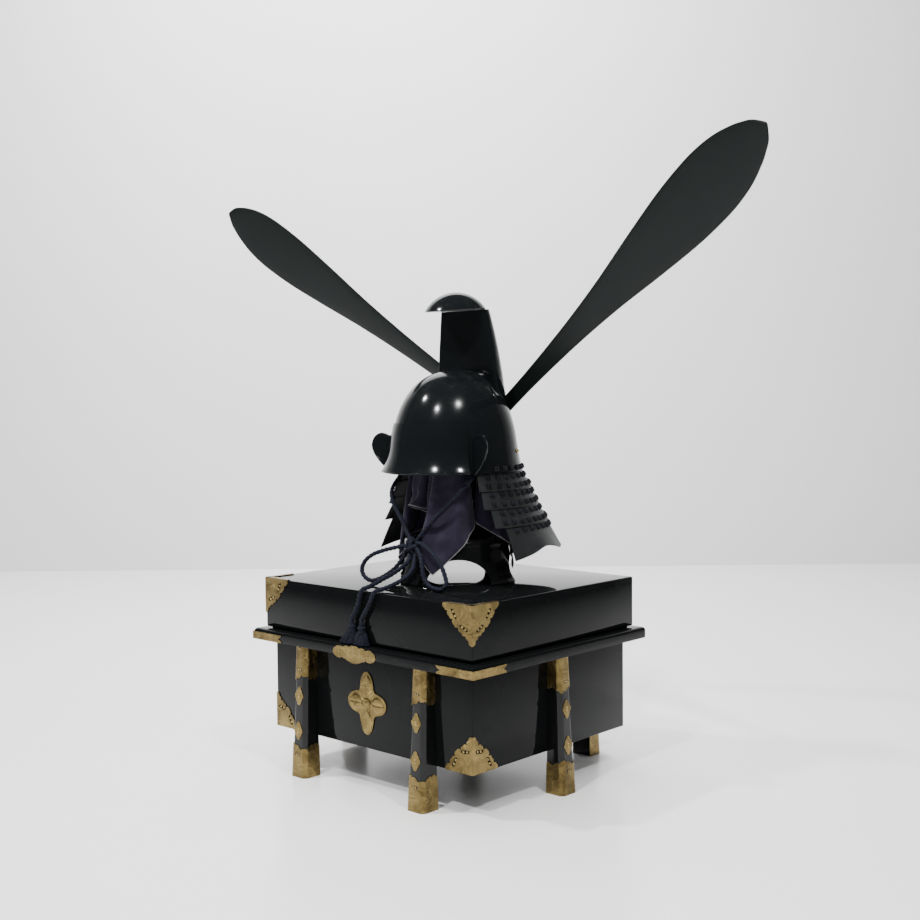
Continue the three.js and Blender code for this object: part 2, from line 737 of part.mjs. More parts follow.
function makeNeckGuard() {
  const columns = 28;
  let above = { drop: 0, half: bowlHalfWidth, back: bowlBack + bowlBackFlare, wall: bowlWall };
  let slope = { half: 0.02, back: 0.7 };
  lames.forEach((lame, i) => {
    const inset = above.wall + lameGap;
    const from = { half: above.half - inset, back: above.back - inset };
    const height = lame.drop - above.drop;
    const last = i === lames.length - 1;
    const edgeAt = (row, angle, offset) => {
      const x = (row.half - offset) * cos(angle);
      const y = (sin(angle) > 0 ? row.back : row.half) - offset;
      return point(x, y * sin(angle), row.z);
    };
    const tuck = {
      half: from.half - slope.half * lameOverlap, back: from.back - slope.back * lameOverlap,
      z: lameOverlap - above.drop,
    };
    const skin = (offset) => [
      { ...lame, z: -lame.drop },
      { half: lerp(lame.half, from.half, 0.5), back: lerp(lame.back, from.back, 0.5),
        z: -lerp(lame.drop, above.drop, 0.5) },
      { ...from, z: -above.drop }, tuck,
    ].map((row, r) =>
      shares(columns).map((t) => {
        const angle = lerp(lame.open, 180 - lame.open, t);
        const p = edgeAt(row, rad(angle), offset);
        if (last && r === 0) p.z -= along(hem, 'angle', 'drop', min(angle, 180 - angle));
        return p;
      }),
    );
    const shell = wall(skin(0), skin(lameWall), false);
    helmet.add(piece(`neck_lame_${i + 1}`, shell, lacquer));
    above = { ...lame, wall: lameWall };
    slope = { half: (lame.half - from.half) / height, back: (lame.back - from.back) / height };
  });
}

// Ear-shaped plates turned out beside the peak
const ear = [
  { out: -0.2, up: 0 }, { out: 0.4, up: 0.1 }, { out: 0.76, up: 0.32 }, { out: 0.97, up: 0.56 },
  { out: 1, up: 0.74 }, { out: 0.86, up: 0.92 }, { out: 0.6, up: 1 }, { out: 0.3, up: 0.95 },
  { out: -0.2, up: 0.8 },
];

function makePlates() {
  const root = onBowl(rad(-plateAngle), 0, 0);
  const shape = outline(ear.map(({ out, up }) => [out * plateReach, up * plateHeight]));
  const flat = plate(shape, plateWall).translate(0, plateWall / 2, 0);
  flat.rotateZ(rad(-plateSweep)).translate(root.x, root.y, 1);
  const trimmed = cut(bare(flat), bowlCore(gap));
  helmet.add(piece('side_plate_right', trimmed, lacquer));
  helmet.add(piece('side_plate_left', bare(trimmed.clone().scale(-1, 1, 1)), lacquer));
}

// Cords: a chin cord that loops round inside the bowl's rim, a bow and two tails with tassels

const cordRoutes = {
  bow_loop_left: [
    [-8, -138, 463], [-24, -140, 461], [-42, -147, 457], [-62, -156, 451], [-82, -165, 442],
    [-95, -172, 429], [-98, -177, 414], [-89, -179, 401], [-72, -177, 394], [-56, -171, 398],
    [-38, -161, 410], [-25, -153, 423], [-16, -146, 438], [-11, -139, 451],
  ],
  bow_loop_right: [
    [14, -138, 470], [32, -140, 469], [50, -142, 461], [70, -145, 450], [90, -149, 434],
    [104, -153, 416], [112, -158, 400], [106, -163, 391.5], [90, -165, 391], [72, -164, 396],
    [58, -162, 408], [50, -158, 424], [40, -151, 441], [24, -143, 456], [10, -138, 464],
  ],
  cord_tail_left: [
    [2, -139, 450], [4, -148, 437], [0, -162, 425], [-7, -182, 413], [-13, -204, 404],
    [-17, -224, 396], [-20, -238, 391.5], [-22, -247, 389], [-25, -250.5, 380],
    [-31, -250, 362], [-40, -250, 345], [-49, -250, 330], [-49, -250, 320],
  ],
  cord_tail_right: [
    [13.5, -139, 452], [20, -149, 438], [29, -163, 424], [32, -180, 412], [29, -200, 403],
    [24, -220, 396], [19, -236, 391.5], [14, -247, 389], [9, -250.5, 380],
    [-1, -250, 362], [-13, -250, 345], [-22, -250, 330], [-22, -250, 320],
  ],
};
const chinFront = [
  [6, -128, 470], [18, -128, 484], [32, -124, 502], [54, -119, 524], [76, -112, 545],
  [91, -99, 566], [96, -80, 584], [98, -58, 599], [102, -34, 607],
];
const chinBackHalf = { x: 107, y: 130, z: 609 };

function tube(route, steps) {
  const curve = new THREE.CatmullRomCurve3(route.map(([x, y, z]) => point(x, y, z)));
  const ring = span(8).map((i) => {
    const angle = (2 * PI * i) / 8;
    return new THREE.Vector2(cordRadius * cos(angle), cordRadius * sin(angle));
  });
  return new THREE.ExtrudeGeometry(new THREE.Shape(ring), { steps, extrudePath: curve });
}

function makeCords() {
  const knotShape = (grow) => {
    const [x, y, z] = knotHalf.map((half) => half + grow);
    const ball = bare(new THREE.SphereGeometry(1, 14, 8).rotateX(PI / 2)).scale(x, y, z);
    return ball.translate(...knotAt);
  };
  model.add(piece('bow_knot', knotShape(0), silk));
  for (const [name, route] of Object.entries(cordRoutes)) {
    const steps = name.startsWith('bow') ? 24 : 22;
    model.add(piece(name, cut(bare(tube(route, steps)), knotShape(gap)), silk));
  }
  const back = shares(8).slice(1, 8).map((t) => [
    chinBackHalf.x * cos(PI * t), helmetY + chinBackHalf.y * sin(PI * t), chinBackHalf.z,
  ]);
  const leftFront = chinFront.map(([x, y, z]) => [-x, y, z]).reverse();
  const chinRoute = [...chinFront, ...back, ...leftFront];
  model.add(piece('chin_cord', cut(bare(tube(chinRoute, 46)), knotShape(gap)), silk));
}

// Tassels: a small head that opens into locks, flat against the chest
const tasselRows = [
  { down: 0, size: 0.3 }, { down: 0.1, size: 0.52 }, { down: 0.25, size: 0.62 },
  { down: 0.34, size: 0.5 }, { down: 0.55, size: 0.78 }, { down: 0.8, size: 0.94 },
  { down: 1, size: 1 },
];

function makeTassels() {
  const count = 24;
  const sides = [
    { name: 'tassel_left', top: [-49, -250, 320], drift: -9 },
    { name: 'tassel_right', top: [-22, -250, 320], drift: -3 },
  ];
  for (const { name, top, drift } of sides) {
    const rings = tasselRows.map(({ down, size }) =>
      span(count).map((c) => {
        const angle = (2 * PI * c) / count;
        const lock = 1 + (c % 3 === 0 ? 0.05 : -0.05) * min(1, 2 * down);
        const x = top[0] + drift * down + tasselHalfWidth * size * lock * cos(angle);
        const y = top[1] - 1.5 * down + tasselHalfDepth * size * lock * sin(angle);
        return point(x, y, top[2] - gap - tasselLength * down);
      }),
    );
    model.add(piece(name, loft(rings), silk));
  }
}

model.add(makeChest());
makeStand();
makeCloth();
makeBowl();
makePeak();
makeCrest();
makeRib();
makeWings();
makeNeckGuard();
makePlates();
model.add(helmet);
makeCords();
makeTassels();

export default model;
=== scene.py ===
import math
import random

import bmesh
import bpy
from mathutils import Matrix, Vector


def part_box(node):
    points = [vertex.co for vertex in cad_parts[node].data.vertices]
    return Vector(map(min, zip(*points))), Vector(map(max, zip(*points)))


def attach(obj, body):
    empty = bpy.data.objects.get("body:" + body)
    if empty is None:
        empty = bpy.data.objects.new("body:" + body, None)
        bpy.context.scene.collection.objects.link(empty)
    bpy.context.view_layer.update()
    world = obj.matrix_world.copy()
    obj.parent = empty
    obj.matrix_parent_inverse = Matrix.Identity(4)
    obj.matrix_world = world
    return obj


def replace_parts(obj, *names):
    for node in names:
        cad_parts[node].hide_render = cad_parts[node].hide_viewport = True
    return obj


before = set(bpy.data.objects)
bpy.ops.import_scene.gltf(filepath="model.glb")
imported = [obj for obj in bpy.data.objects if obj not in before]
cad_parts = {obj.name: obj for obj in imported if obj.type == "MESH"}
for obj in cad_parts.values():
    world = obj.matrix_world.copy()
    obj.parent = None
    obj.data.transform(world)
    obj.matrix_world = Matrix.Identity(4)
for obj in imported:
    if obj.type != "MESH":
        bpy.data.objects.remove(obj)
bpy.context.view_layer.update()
pi, cos, sin = math.pi, math.cos, math.sin
print("frame loaded:", len(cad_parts), "nodes")


# Camera, where the photographer stood

view = {
    "place": (1.7513, -1.8884, 0.7532),
    "lens": 50.17,  # millimetres on a 36 mm wide sensor
    "turn": 42.78,  # degrees to the left of straight ahead
    "pitch": -2.866,
    "roll": -0.51,
}


def linked(name, data):
    made = bpy.data.objects.new(name, data)
    bpy.context.collection.objects.link(made)
    return made


def makeCamera():
    turn, pitch, roll = (math.radians(view[key]) for key in ("turn", "pitch", "roll"))
    ahead = Vector((-sin(turn) * cos(pitch), cos(turn) * cos(pitch), sin(pitch)))
    level = Vector((cos(turn), sin(turn), 0))
    up = level.cross(ahead)
    right = level * cos(roll) + up * sin(roll)
    upright = up * cos(roll) - level * sin(roll)
    data = bpy.data.cameras.new("photoCamera")
    data.lens = view["lens"]
    data.sensor_width = 36
    data.dof.use_dof = False
    camera = linked("photoCamera", data)
    turned = Matrix((right, upright, -ahead)).transposed().to_4x4()
    camera.matrix_world = Matrix.Translation(view["place"]) @ turned
    bpy.context.scene.camera = camera


makeCamera()
print("camera placed")


# Finishes: shared effects first, as node groups, then one material for each


def newGroup(name, inputs, outputs):
    group = bpy.data.node_groups.new(name, "ShaderNodeTree")
    for label, value in inputs.items():
        kind = "NodeSocketColor" if isinstance(value, tuple) else "NodeSocketFloat"
        socket = group.interface.new_socket(label, in_out="INPUT", socket_type=kind)
        socket.default_value = value
    for label, kind in outputs.items():
        group.interface.new_socket(label, in_out="OUTPUT", socket_type=kind)
    tree = group.nodes
    return group, tree.new("NodeGroupInput"), tree.new("NodeGroupOutput")


def node(tree, kind, **settings):
    made = tree.nodes.new(kind)
    for key, value in settings.items():
        if key in made.inputs:
            made.inputs[key].default_value = value
        else:
            setattr(made, key, value)
    return made


def mathNode(tree, operation, a, b=None):
    made = node(tree, "ShaderNodeMath", operation=operation)
    for slot, value in zip(made.inputs, (a, b)):
        if isinstance(value, bpy.types.NodeSocket):
            tree.links.new(value, slot)
        elif value is not None:
            slot.default_value = value
    return made.outputs[0]


def rampNode(tree, value, low, high, toLow=0.0, toHigh=1.0):
    made = node(tree, "ShaderNodeMapRange")
    tree.links.new(value, made.inputs["Value"])
    for label, number in zip(("From Min", "From Max", "To Min", "To Max"), (low, high, toLow, toHigh)):
        if isinstance(number, bpy.types.NodeSocket):
            tree.links.new(number, made.inputs[label])
        else:
            made.inputs[label].default_value = number
    return made.outputs["Result"]


def mixNode(tree, factor, a, b):
    made = node(tree, "ShaderNodeMix", data_type="RGBA")
    for slot, value in ((made.inputs[0], factor), (made.inputs[6], a), (made.inputs[7], b)):
        if isinstance(value, bpy.types.NodeSocket):
            tree.links.new(value, slot)
        else:
            slot.default_value = value
    return made.outputs[2]


def objectPlace(tree):
    return node(tree, "ShaderNodeTexCoord").outputs["Object"]


def makeSmudge():  # hand marks and uneven polish, as a roughness
    group, given, out = newGroup(
        "smudge", {"Scale": 9.0, "Low": 0.05, "High": 0.2}, {"Roughness": "NodeSocketFloat"}
    )
    cloud = node(group, "ShaderNodeTexNoise", Detail=5.0, Roughness=0.6, Distortion=0.6)
    group.links.new(objectPlace(group), cloud.inputs["Vector"])
    group.links.new(given.outputs["Scale"], cloud.inputs["Scale"])
    spread = rampNode(group, cloud.outputs[0], 0.35, 0.7, given.outputs["Low"], given.outputs["High"])
    group.links.new(spread, out.inputs[0])
    return group


def makeRipple():  # the slight waviness of hand-rubbed lacquer
    group, given, out = newGroup(
        "ripple", {"Scale": 14.0, "Fine": 160.0, "Fine Share": 0.15}, {"Height": "NodeSocketFloat"}
    )
    place = objectPlace(group)
    broad = node(group, "ShaderNodeTexNoise", Detail=2.0)
    fine = node(group, "ShaderNodeTexNoise", Detail=3.0)
    for cloud, label in ((broad, "Scale"), (fine, "Fine")):
        group.links.new(place, cloud.inputs["Vector"])
        group.links.new(given.outputs[label], cloud.inputs["Scale"])
    small = mathNode(group, "MULTIPLY", fine.outputs[0], given.outputs["Fine Share"])
    group.links.new(mathNode(group, "ADD", broad.outputs[0], small), out.inputs[0])
    return group


def makeDust():  # pale dust that settles on what faces up
    group, given, out = newGroup(
        "dust",
        {"Color": (0.01, 0.01, 0.01, 1), "Dust": (0.3, 0.29, 0.27, 1), "Amount": 0.1, "Scale": 60.0},
        {"Color": "NodeSocketColor"},
    )
    cloud = node(group, "ShaderNodeTexNoise", Detail=8.0, Roughness=0.75)
    group.links.new(objectPlace(group), cloud.inputs["Vector"])
    group.links.new(given.outputs["Scale"], cloud.inputs["Scale"])
    split = node(group, "ShaderNodeSeparateXYZ")
    group.links.new(node(group, "ShaderNodeNewGeometry").outputs["Normal"], split.inputs[0])
    facing = rampNode(group, split.outputs["Z"], 0.2, 1.0)
    specks = rampNode(group, cloud.outputs[0], 0.5, 0.75)
    share = mathNode(group, "MULTIPLY", mathNode(group, "MULTIPLY", facing, specks), given.outputs["Amount"])
    group.links.new(mixNode(group, share, given.outputs["Color"], given.outputs["Dust"]), out.inputs[0])
    return group


def makePunch():  # rows of fine round punch marks, with leafy scrolls left plain
    group, given, out = newGroup(
        "punch", {"Dots": 360.0, "Scrolls": 52.0}, {"Height": "NodeSocketFloat", "Scroll": "NodeSocketFloat"}
    )
    place = objectPlace(group)
    dots = node(group, "ShaderNodeTexVoronoi", feature="F1", Randomness=0.25)
    warp = node(group, "ShaderNodeTexNoise", Scale=30.0, Detail=1.0)
    curls = node(group, "ShaderNodeTexVoronoi", feature="DISTANCE_TO_EDGE", Randomness=0.9)
    group.links.new(place, dots.inputs["Vector"])
    group.links.new(given.outputs["Dots"], dots.inputs["Scale"])
    group.links.new(place, warp.inputs["Vector"])
    bent = node(group, "ShaderNodeVectorMath", operation="MULTIPLY_ADD")
    group.links.new(warp.outputs["Color"], bent.inputs[0])
    bent.inputs[1].default_value = (0.03, 0.03, 0.03)
    group.links.new(place, bent.inputs[2])
    group.links.new(bent.outputs[0], curls.inputs["Vector"])
    group.links.new(given.outputs["Scrolls"], curls.inputs["Scale"])
    scroll = rampNode(group, curls.outputs["Distance"], 0.05, 0.11, 1.0, 0.0)
    pits = rampNode(group, dots.outputs["Distance"], 0.1, 0.42, 0.0, 1.0)
    high = mathNode(group, "MAXIMUM", mathNode(group, "MULTIPLY", pits, 0.55), scroll)
    group.links.new(high, out.inputs[0])
    group.links.new(scroll, out.inputs[1])
    return group


def makeThread():  # fine silk threads and their uneven dye
    group, given, out = newGroup(
        "thread", {"Scale": 900.0, "Dye": 40.0}, {"Height": "NodeSocketFloat", "Shade": "NodeSocketFloat"}
    )
    place = objectPlace(group)
    fine = node(group, "ShaderNodeTexNoise", Detail=2.0, Roughness=0.7)
    dye = node(group, "ShaderNodeTexNoise", Detail=4.0)
    for cloud, label in ((fine, "Scale"), (dye, "Dye")):
        group.links.new(place, cloud.inputs["Vector"])
        group.links.new(given.outputs[label], cloud.inputs["Scale"])
    group.links.new(fine.outputs[0], out.inputs[0])
    group.links.new(rampNode(group, dye.outputs[0], 0.35, 0.65), out.inputs[1])
    return group


effects = {
    "smudge": makeSmudge(), "ripple": makeRipple(), "dust": makeDust(),
    "punch": makePunch(), "thread": makeThread(),
}


def place(tree, name, **values):
    made = node(tree, "ShaderNodeGroup", node_tree=effects[name])
    for key, value in values.items():
        made.inputs[key].default_value = value
    return made


def startMaterial(name, **fixed):
    material = bpy.data.materials.new(name)
    material.use_nodes = True
    shader = material.node_tree.nodes["Principled BSDF"]
    for key, value in fixed.items():
        shader.inputs[key].default_value = value
    return material, material.node_tree, shader


def bumpInto(tree, shader, height, strength, distance):
    bump = node(tree, "ShaderNodeBump", Strength=strength, Distance=distance)
    tree.links.new(height, bump.inputs["Height"])
    tree.links.new(bump.outputs[0], shader.inputs["Normal"])


lacquers = {
    "helmetLacquer": {
        "color": (0.004, 0.005, 0.0056, 1), "low": 0.08, "high": 0.2, "wave": 0.0006, "dust": 0.04, "gloss": 0.2,
    },
    "lameLacquer": {
        "color": (0.0125, 0.0135, 0.014, 1), "low": 0.36, "high": 0.5, "wave": 0.0006, "dust": 0.05, "gloss": 0.14,
    },
    "chestLacquer": {
        "color": (0.0038, 0.0044, 0.0046, 1), "low": 0.03, "high": 0.07, "wave": 0.00012, "dust": 0.012, "gloss": 0.1,
    },
    "legLacquer": {
        "color": (0.0035, 0.0038, 0.004, 1), "low": 0.06, "high": 0.14, "wave": 0.0003, "dust": 0.02, "gloss": 0.3,
    },
    "wingBlack": {
        "color": (0.0045, 0.0065, 0.0062, 1), "low": 0.38, "high": 0.5, "wave": 0.0002, "dust": 0.02, "gloss": 0.2,
    },
}


def makeLacquer(name):
    values = lacquers[name]
    material, tree, shader = startMaterial(name, **{"Specular IOR Level": values["gloss"]})
    smudge = place(tree, "smudge", Scale=7.0, Low=values["low"], High=values["high"])
    tree.links.new(smudge.outputs[0], shader.inputs["Roughness"])
    dust = place(tree, "dust", Color=values["color"], Amount=values["dust"])
    tree.links.new(dust.outputs[0], shader.inputs["Base Color"])
    ripple = place(tree, "ripple")
    bumpInto(tree, shader, ripple.outputs[0], 0.35, values["wave"])
    return material


brassLook = {"bright": (0.31, 0.225, 0.086, 1), "dull": (0.1, 0.07, 0.025, 1), "depth": 0.0008}


def makeBrass():
    material, tree, shader = startMaterial("brass", Metallic=1.0)
    punch = place(tree, "punch")
    smudge = place(tree, "smudge", Scale=22.0, Low=0.24, High=0.46)
    stain = place(tree, "smudge", Scale=30.0, Low=0.0, High=1.0)
    base = mixNode(tree, stain.outputs[0], brassLook["bright"], brassLook["dull"])
    # the punch pits are mixed toward the dull tone: painted shade in the recesses
    raised = rampNode(tree, punch.outputs["Height"], 0.1, 0.6, 0.75, 0.0)
    pitShadedColor = mixNode(tree, raised, base, brassLook["dull"])
    tree.links.new(pitShadedColor, shader.inputs["Base Color"])
    tree.links.new(smudge.outputs[0], shader.inputs["Roughness"])
    bumpInto(tree, shader, punch.outputs["Height"], 0.8, brassLook["depth"])
    return material


fabrics = {
    "silkCord": {
        "dark": (0.0005, 0.0008, 0.003, 1), "light": (0.0048, 0.0064, 0.018, 1),
        "threads": 900.0, "dye": 260.0, "depth": 0.0004, "sheen": 0.02,
    },
    "tasselSilk": {
        "dark": (0.0005, 0.0008, 0.003, 1), "light": (0.0042, 0.0056, 0.016, 1),
        "threads": 1500.0, "dye": 300.0, "depth": 0.0002, "sheen": 0.02,
    },
    "lacingSilk": {
        "dark": (0.0012, 0.0015, 0.003, 1), "light": (0.0035, 0.004, 0.008, 1),
        "threads": 1100.0, "dye": 40.0, "depth": 0.0004, "sheen": 0.03,
    },
    "crepeCloth": {
        "dark": (0.0105, 0.008, 0.019, 1), "light": (0.018, 0.0135, 0.03, 1),
        "threads": 700.0, "dye": 40.0, "depth": 0.0005, "sheen": 0.12,
    },
    "hemThread": {
        "dark": (0.12, 0.115, 0.125, 1), "light": (0.2, 0.195, 0.21, 1),
        "threads": 900.0, "dye": 40.0, "depth": 0.0002, "sheen": 0.1,
    },
}


def makeFabric(name):
    values = fabrics[name]
    material, tree, shader = startMaterial(
        name,
        **{"Roughness": 0.8, "Sheen Weight": values["sheen"], "Sheen Roughness": 0.45, "Specular IOR Level": 0.25},
    )
    thread = place(tree, "thread", Scale=values["threads"], Dye=values["dye"])
    color = mixNode(tree, thread.outputs["Shade"], values["dark"], values["light"])
    tree.links.new(color, shader.inputs["Base Color"])
    bumpInto(tree, shader, thread.outputs["Height"], 0.6, values["depth"])
    return material


def makePlain(name, color, roughness, metal):
    return startMaterial(name, **{"Base Color": color, "Roughness": roughness, "Metallic": metal})[0]


finishes = {name: makeFabric(name) for name in fabrics}
finishes["brass"] = makeBrass()
finishes["pinBrass"] = makePlain("pinBrass", (0.45, 0.33, 0.13, 1), 0.3, 1.0)
# near-black matte finish for the sheets that stand in for pierced slots: painted shade
finishes["slotPaintedShade"] = makePlain("slotPaintedShade", (0.004, 0.004, 0.005, 1), 0.7, 0.0)
for lacquerName in lacquers:
    finishes[lacquerName] = makeLacquer(lacquerName)
print("finishes made:", len(finishes))


# Mesh helpers


seam = 0.0003  # metres left between pieces that touch


def titled(name):  # a solid's name as the name of its piece
    return name.title().replace("_", "")


def meshOf(name, verts, faces):
    mesh = bpy.data.meshes.new(name)
    mesh.from_pydata([tuple(v) for v in verts], [], faces)
    shape = bmesh.new()
    shape.from_mesh(mesh)
    bmesh.ops.remove_doubles(shape, verts=shape.verts, dist=1e-6)
    bmesh.ops.recalc_face_normals(shape, faces=shape.faces)
    shape.to_mesh(mesh)
    shape.free()
    return mesh


def soften(mesh, sharp):
    mesh.shade_smooth()
    mesh.set_sharp_from_angle(angle=math.radians(sharp))


def finishPiece(name, mesh, finish, nodes=(), sharp=35):
    soften(mesh, sharp)
    mesh.materials.clear()
    mesh.materials.append(finishes[finish])
    piece = linked(name, mesh)
    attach(piece, "root")
    if nodes:
        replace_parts(piece, *nodes)
    return piece


def addPiece(name, verts, faces, finish, nodes=(), sharp=35):
    return finishPiece(name, meshOf(name, verts, faces), finish, nodes, sharp)


def addTo(verts, faces, part):  # joins a further mesh to a growing one
    more, quads = part
    faces.extend(tuple(n + len(verts) for n in face) for face in quads)
    verts.extend(more)


def lerp(a, b, t):
    return a + (b - a) * t


def along(table, t):  # smooth value of a table of (place, value) rows
    if t <= table[0][0]:
        return table[0][1]
    for i in range(len(table) - 1):
        (x0, y0), (x1, y1) = table[i], table[i + 1]
        if t <= x1:
            before = table[max(i - 1, 0)]
            after = table[min(i + 2, len(table) - 1)]
            slopeA = (y1 - before[1]) / max(x1 - before[0], 1e-9)
            slopeB = (after[1] - y0) / max(after[0] - x0, 1e-9)
            u, w = (t - x0) / (x1 - x0), x1 - x0
            return (
                (2 * u**3 - 3 * u**2 + 1) * y0 + (u**3 - 2 * u**2 + u) * w * slopeA
                + (3 * u**2 - 2 * u**3) * y1 + (u**3 - u**2) * w * slopeB
            )
    return table[-1][1]


def smoothRoute(points, closedLoop=False, spacing=0.0015):
    points = [Vector(p) for p in points]
    count = len(points)
    dense = []
    spans = count if closedLoop else count - 1
    for i in range(spans):
        if closedLoop:
            p0, p1, p2, p3 = (points[(i + k) % count] for k in (-1, 0, 1, 2))
        else:
            p1, p2 = points[i], points[i + 1]
            p0 = points[i - 1] if i else p1 * 2 - p2
            p3 = points[i + 2] if i + 2 < count else p2 * 2 - p1
        t0, t1, t2 = ((b - a).length ** 0.5 for a, b in ((p0, p1), (p1, p2), (p2, p3)))
        m1 = (p2 - p1) + t1 * ((p1 - p0) / t0 - (p2 - p0) / (t0 + t1))
        m2 = (p2 - p1) + t1 * ((p3 - p2) / t2 - (p3 - p1) / (t1 + t2))
        for k in range(16):
            u = k / 16
            dense.append(
                p1 * (2 * u**3 - 3 * u**2 + 1) + m1 * (u**3 - 2 * u**2 + u)
                + p2 * (3 * u**2 - 2 * u**3) + m2 * (u**3 - u**2)
            )
    dense.append(dense[0].copy() if closedLoop else points[-1])
    total = sum((b - a).length for a, b in zip(dense, dense[1:]))
    steps = max(4, round(total / spacing))
    even, i, gone = [dense[0]], 0, 0.0
    for k in range(1, steps):
        want = total * k / steps
        while gone + (dense[i + 1] - dense[i]).length < want:
            gone += (dense[i + 1] - dense[i]).length
            i += 1
        share = (want - gone) / (dense[i + 1] - dense[i]).length
        even.append(dense[i].lerp(dense[i + 1], share))
    if not closedLoop:
        even.append(dense[-1])
    return even, total


def tubeMesh(route, radius, sides, closedLoop=False, relief=None):
    count = len(route)
    verts, faces = [], []
    side = None
    for i, p in enumerate(route):
        ahead = route[(i + 1) % count] if closedLoop or i + 1 < count else p
        behind = route[i - 1] if closedLoop or i else p
        run = (ahead - behind).normalized()
        if side is None:
            side = run.orthogonal().normalized()
        side = (side - run * side.dot(run)).normalized()
        other = run.cross(side)
        for k in range(sides):
            angle = 2 * pi * k / sides
            r = radius(i / count) if callable(radius) else radius
            if relief:
                r *= relief(i, k / sides)
            verts.append(p + (side * cos(angle) + other * sin(angle)) * r)
    rows = count if closedLoop else count - 1
    for i in range(rows):
        a, b = i * sides, ((i + 1) % count) * sides
        for k in range(sides):
            n = (k + 1) % sides
            faces.append((a + k, a + n, b + n, b + k))
    if not closedLoop:
        faces.append(tuple(range(sides))[::-1])
        faces.append(tuple(range((count - 1) * sides, count * sides)))
    return verts, faces


def shellMesh(outer, inner, around):
    rows, columns = len(outer), len(outer[0])
    verts = [p for row in outer for p in row] + [p for row in inner for p in row]
    shift = rows * columns
    faces = []
    for c in range(columns if around else columns - 1):
        n = (c + 1) % columns
        for r in range(rows - 1):
            a, b = r * columns, (r + 1) * columns
            faces.append((a + c, a + n, b + n, b + c))
            faces.append((shift + a + c, shift + b + c, shift + b + n, shift + a + n))
        last = (rows - 1) * columns
        faces.append((c, shift + c, shift + n, n))
        faces.append((last + c, last + n, shift + last + n, shift + last + c))
    if not around:
        for r in range(rows - 1):
            for c in (0, columns - 1):
                a, b = r * columns + c, (r + 1) * columns + c
                faces.append((a, b, shift + b, shift + a))
    return verts, faces


def loftMesh(rings):
    count = len(rings[0])
    verts = [p for ring in rings for p in ring]
    faces = []
    for r in range(len(rings) - 1):
        for c in range(count):
            n = (c + 1) % count
            faces.append((r * count + c, r * count + n, (r + 1) * count + n, (r + 1) * count + c))
    faces.append(tuple(range(count))[::-1])
    faces.append(tuple(range((len(rings) - 1) * count, len(rings) * count)))
    return verts, faces


def roundBox(low, high, bevel, segments=3):
    shape = bmesh.new()
    bmesh.ops.create_cube(shape, size=1)
    size = Vector(high) - Vector(low)
    middle = (Vector(high) + Vector(low)) / 2
    for v in shape.verts:
        v.co = Vector((v.co.x * size.x, v.co.y * size.y, v.co.z * size.z)) + middle
    bmesh.ops.bevel(
        shape, geom=shape.edges[:], offset=bevel, segments=segments, profile=0.5, affect="EDGES"
    )
    mesh = bpy.data.meshes.new("roundBox")
    shape.to_mesh(mesh)
    shape.free()
    return mesh


def cutWith(piece, mesh):  # takes another solid out of a piece
    tool = linked("cutter", mesh)
    cutter = piece.modifiers.new("cut", "BOOLEAN")
    cutter.object = tool
    cutter.operation = "DIFFERENCE"
    cutter.solver = "EXACT"
    applyShape(piece)
    bpy.data.objects.remove(tool)


def applyShape(piece):
    graph = bpy.context.evaluated_depsgraph_get()
    done = bpy.data.meshes.new_from_object(piece.evaluated_get(graph))
    piece.modifiers.clear()
    piece.data = done


def flatPlate(name, outline, holes, thick, bevel, matrix, finish, nodes=(), sharp=35):
    curve = bpy.data.curves.new(name, "CURVE")
    curve.dimensions = "2D"
    curve.fill_mode = "BOTH"
    curve.extrude = thick / 2 - bevel
    curve.bevel_depth = bevel
    curve.bevel_resolution = 2
    curve.offset = -bevel
    for loop in [outline, *holes]:
        spline = curve.splines.new("POLY")
        spline.points.add(len(loop) - 1)
        for spot, (x, y) in zip(spline.points, loop):
            spot.co = (x, y, 0, 1)
        spline.use_cyclic_u = True
    holder = linked(name + "Curve", curve)
    graph = bpy.context.evaluated_depsgraph_get()
    mesh = bpy.data.meshes.new_from_object(holder.evaluated_get(graph))
    bpy.data.objects.remove(holder)
    mesh.transform(matrix)
    return finishPiece(name, mesh, finish, nodes, sharp)


def facing(origin, rightward, upward):  # plate space: x right, y up, z out of the face
    rightward, upward = Vector(rightward).normalized(), Vector(upward).normalized()
    outward = rightward.cross(upward)
    turned = Matrix((rightward, upward, outward)).transposed().to_4x4()
    return Matrix.Translation(origin) @ turned


def loopOf(points, steps=6):  # rounds a closed outline
    count = len(points)
    out = []
    for i in range(count):
        p0, p1, p2, p3 = (Vector(points[(i + k) % count]) for k in (-1, 0, 1, 2))
        for k in range(steps):
            u = k / steps
            out.append(
                0.5 * (2 * p1 + (p2 - p0) * u + (2 * p0 - 5 * p1 + 4 * p2 - p3) * u * u
                + (3 * p1 - p0 - 3 * p2 + p3) * u**3)
            )
    return out


def circleLoop(x, y, r, count=20, flat=1.0):
    turns = [2 * pi * k / count for k in range(count)]
    return [(x + r * cos(turn), y + flat * r * sin(turn)) for turn in turns]


def ringAt(x, y, z, r, count, flat=1.0):
    return [Vector((px, py, z)) for px, py in circleLoop(x, y, r, count, flat)]


def joinPieces(name, pieces):
    target = pieces[0]
    with bpy.context.temp_override(
        active_object=target, selected_editable_objects=pieces, selected_objects=pieces
    ):
        bpy.ops.object.join()
    target.name = name
    return target


# Cords: a chin cord round the bowl, a bow and two tails with tassels

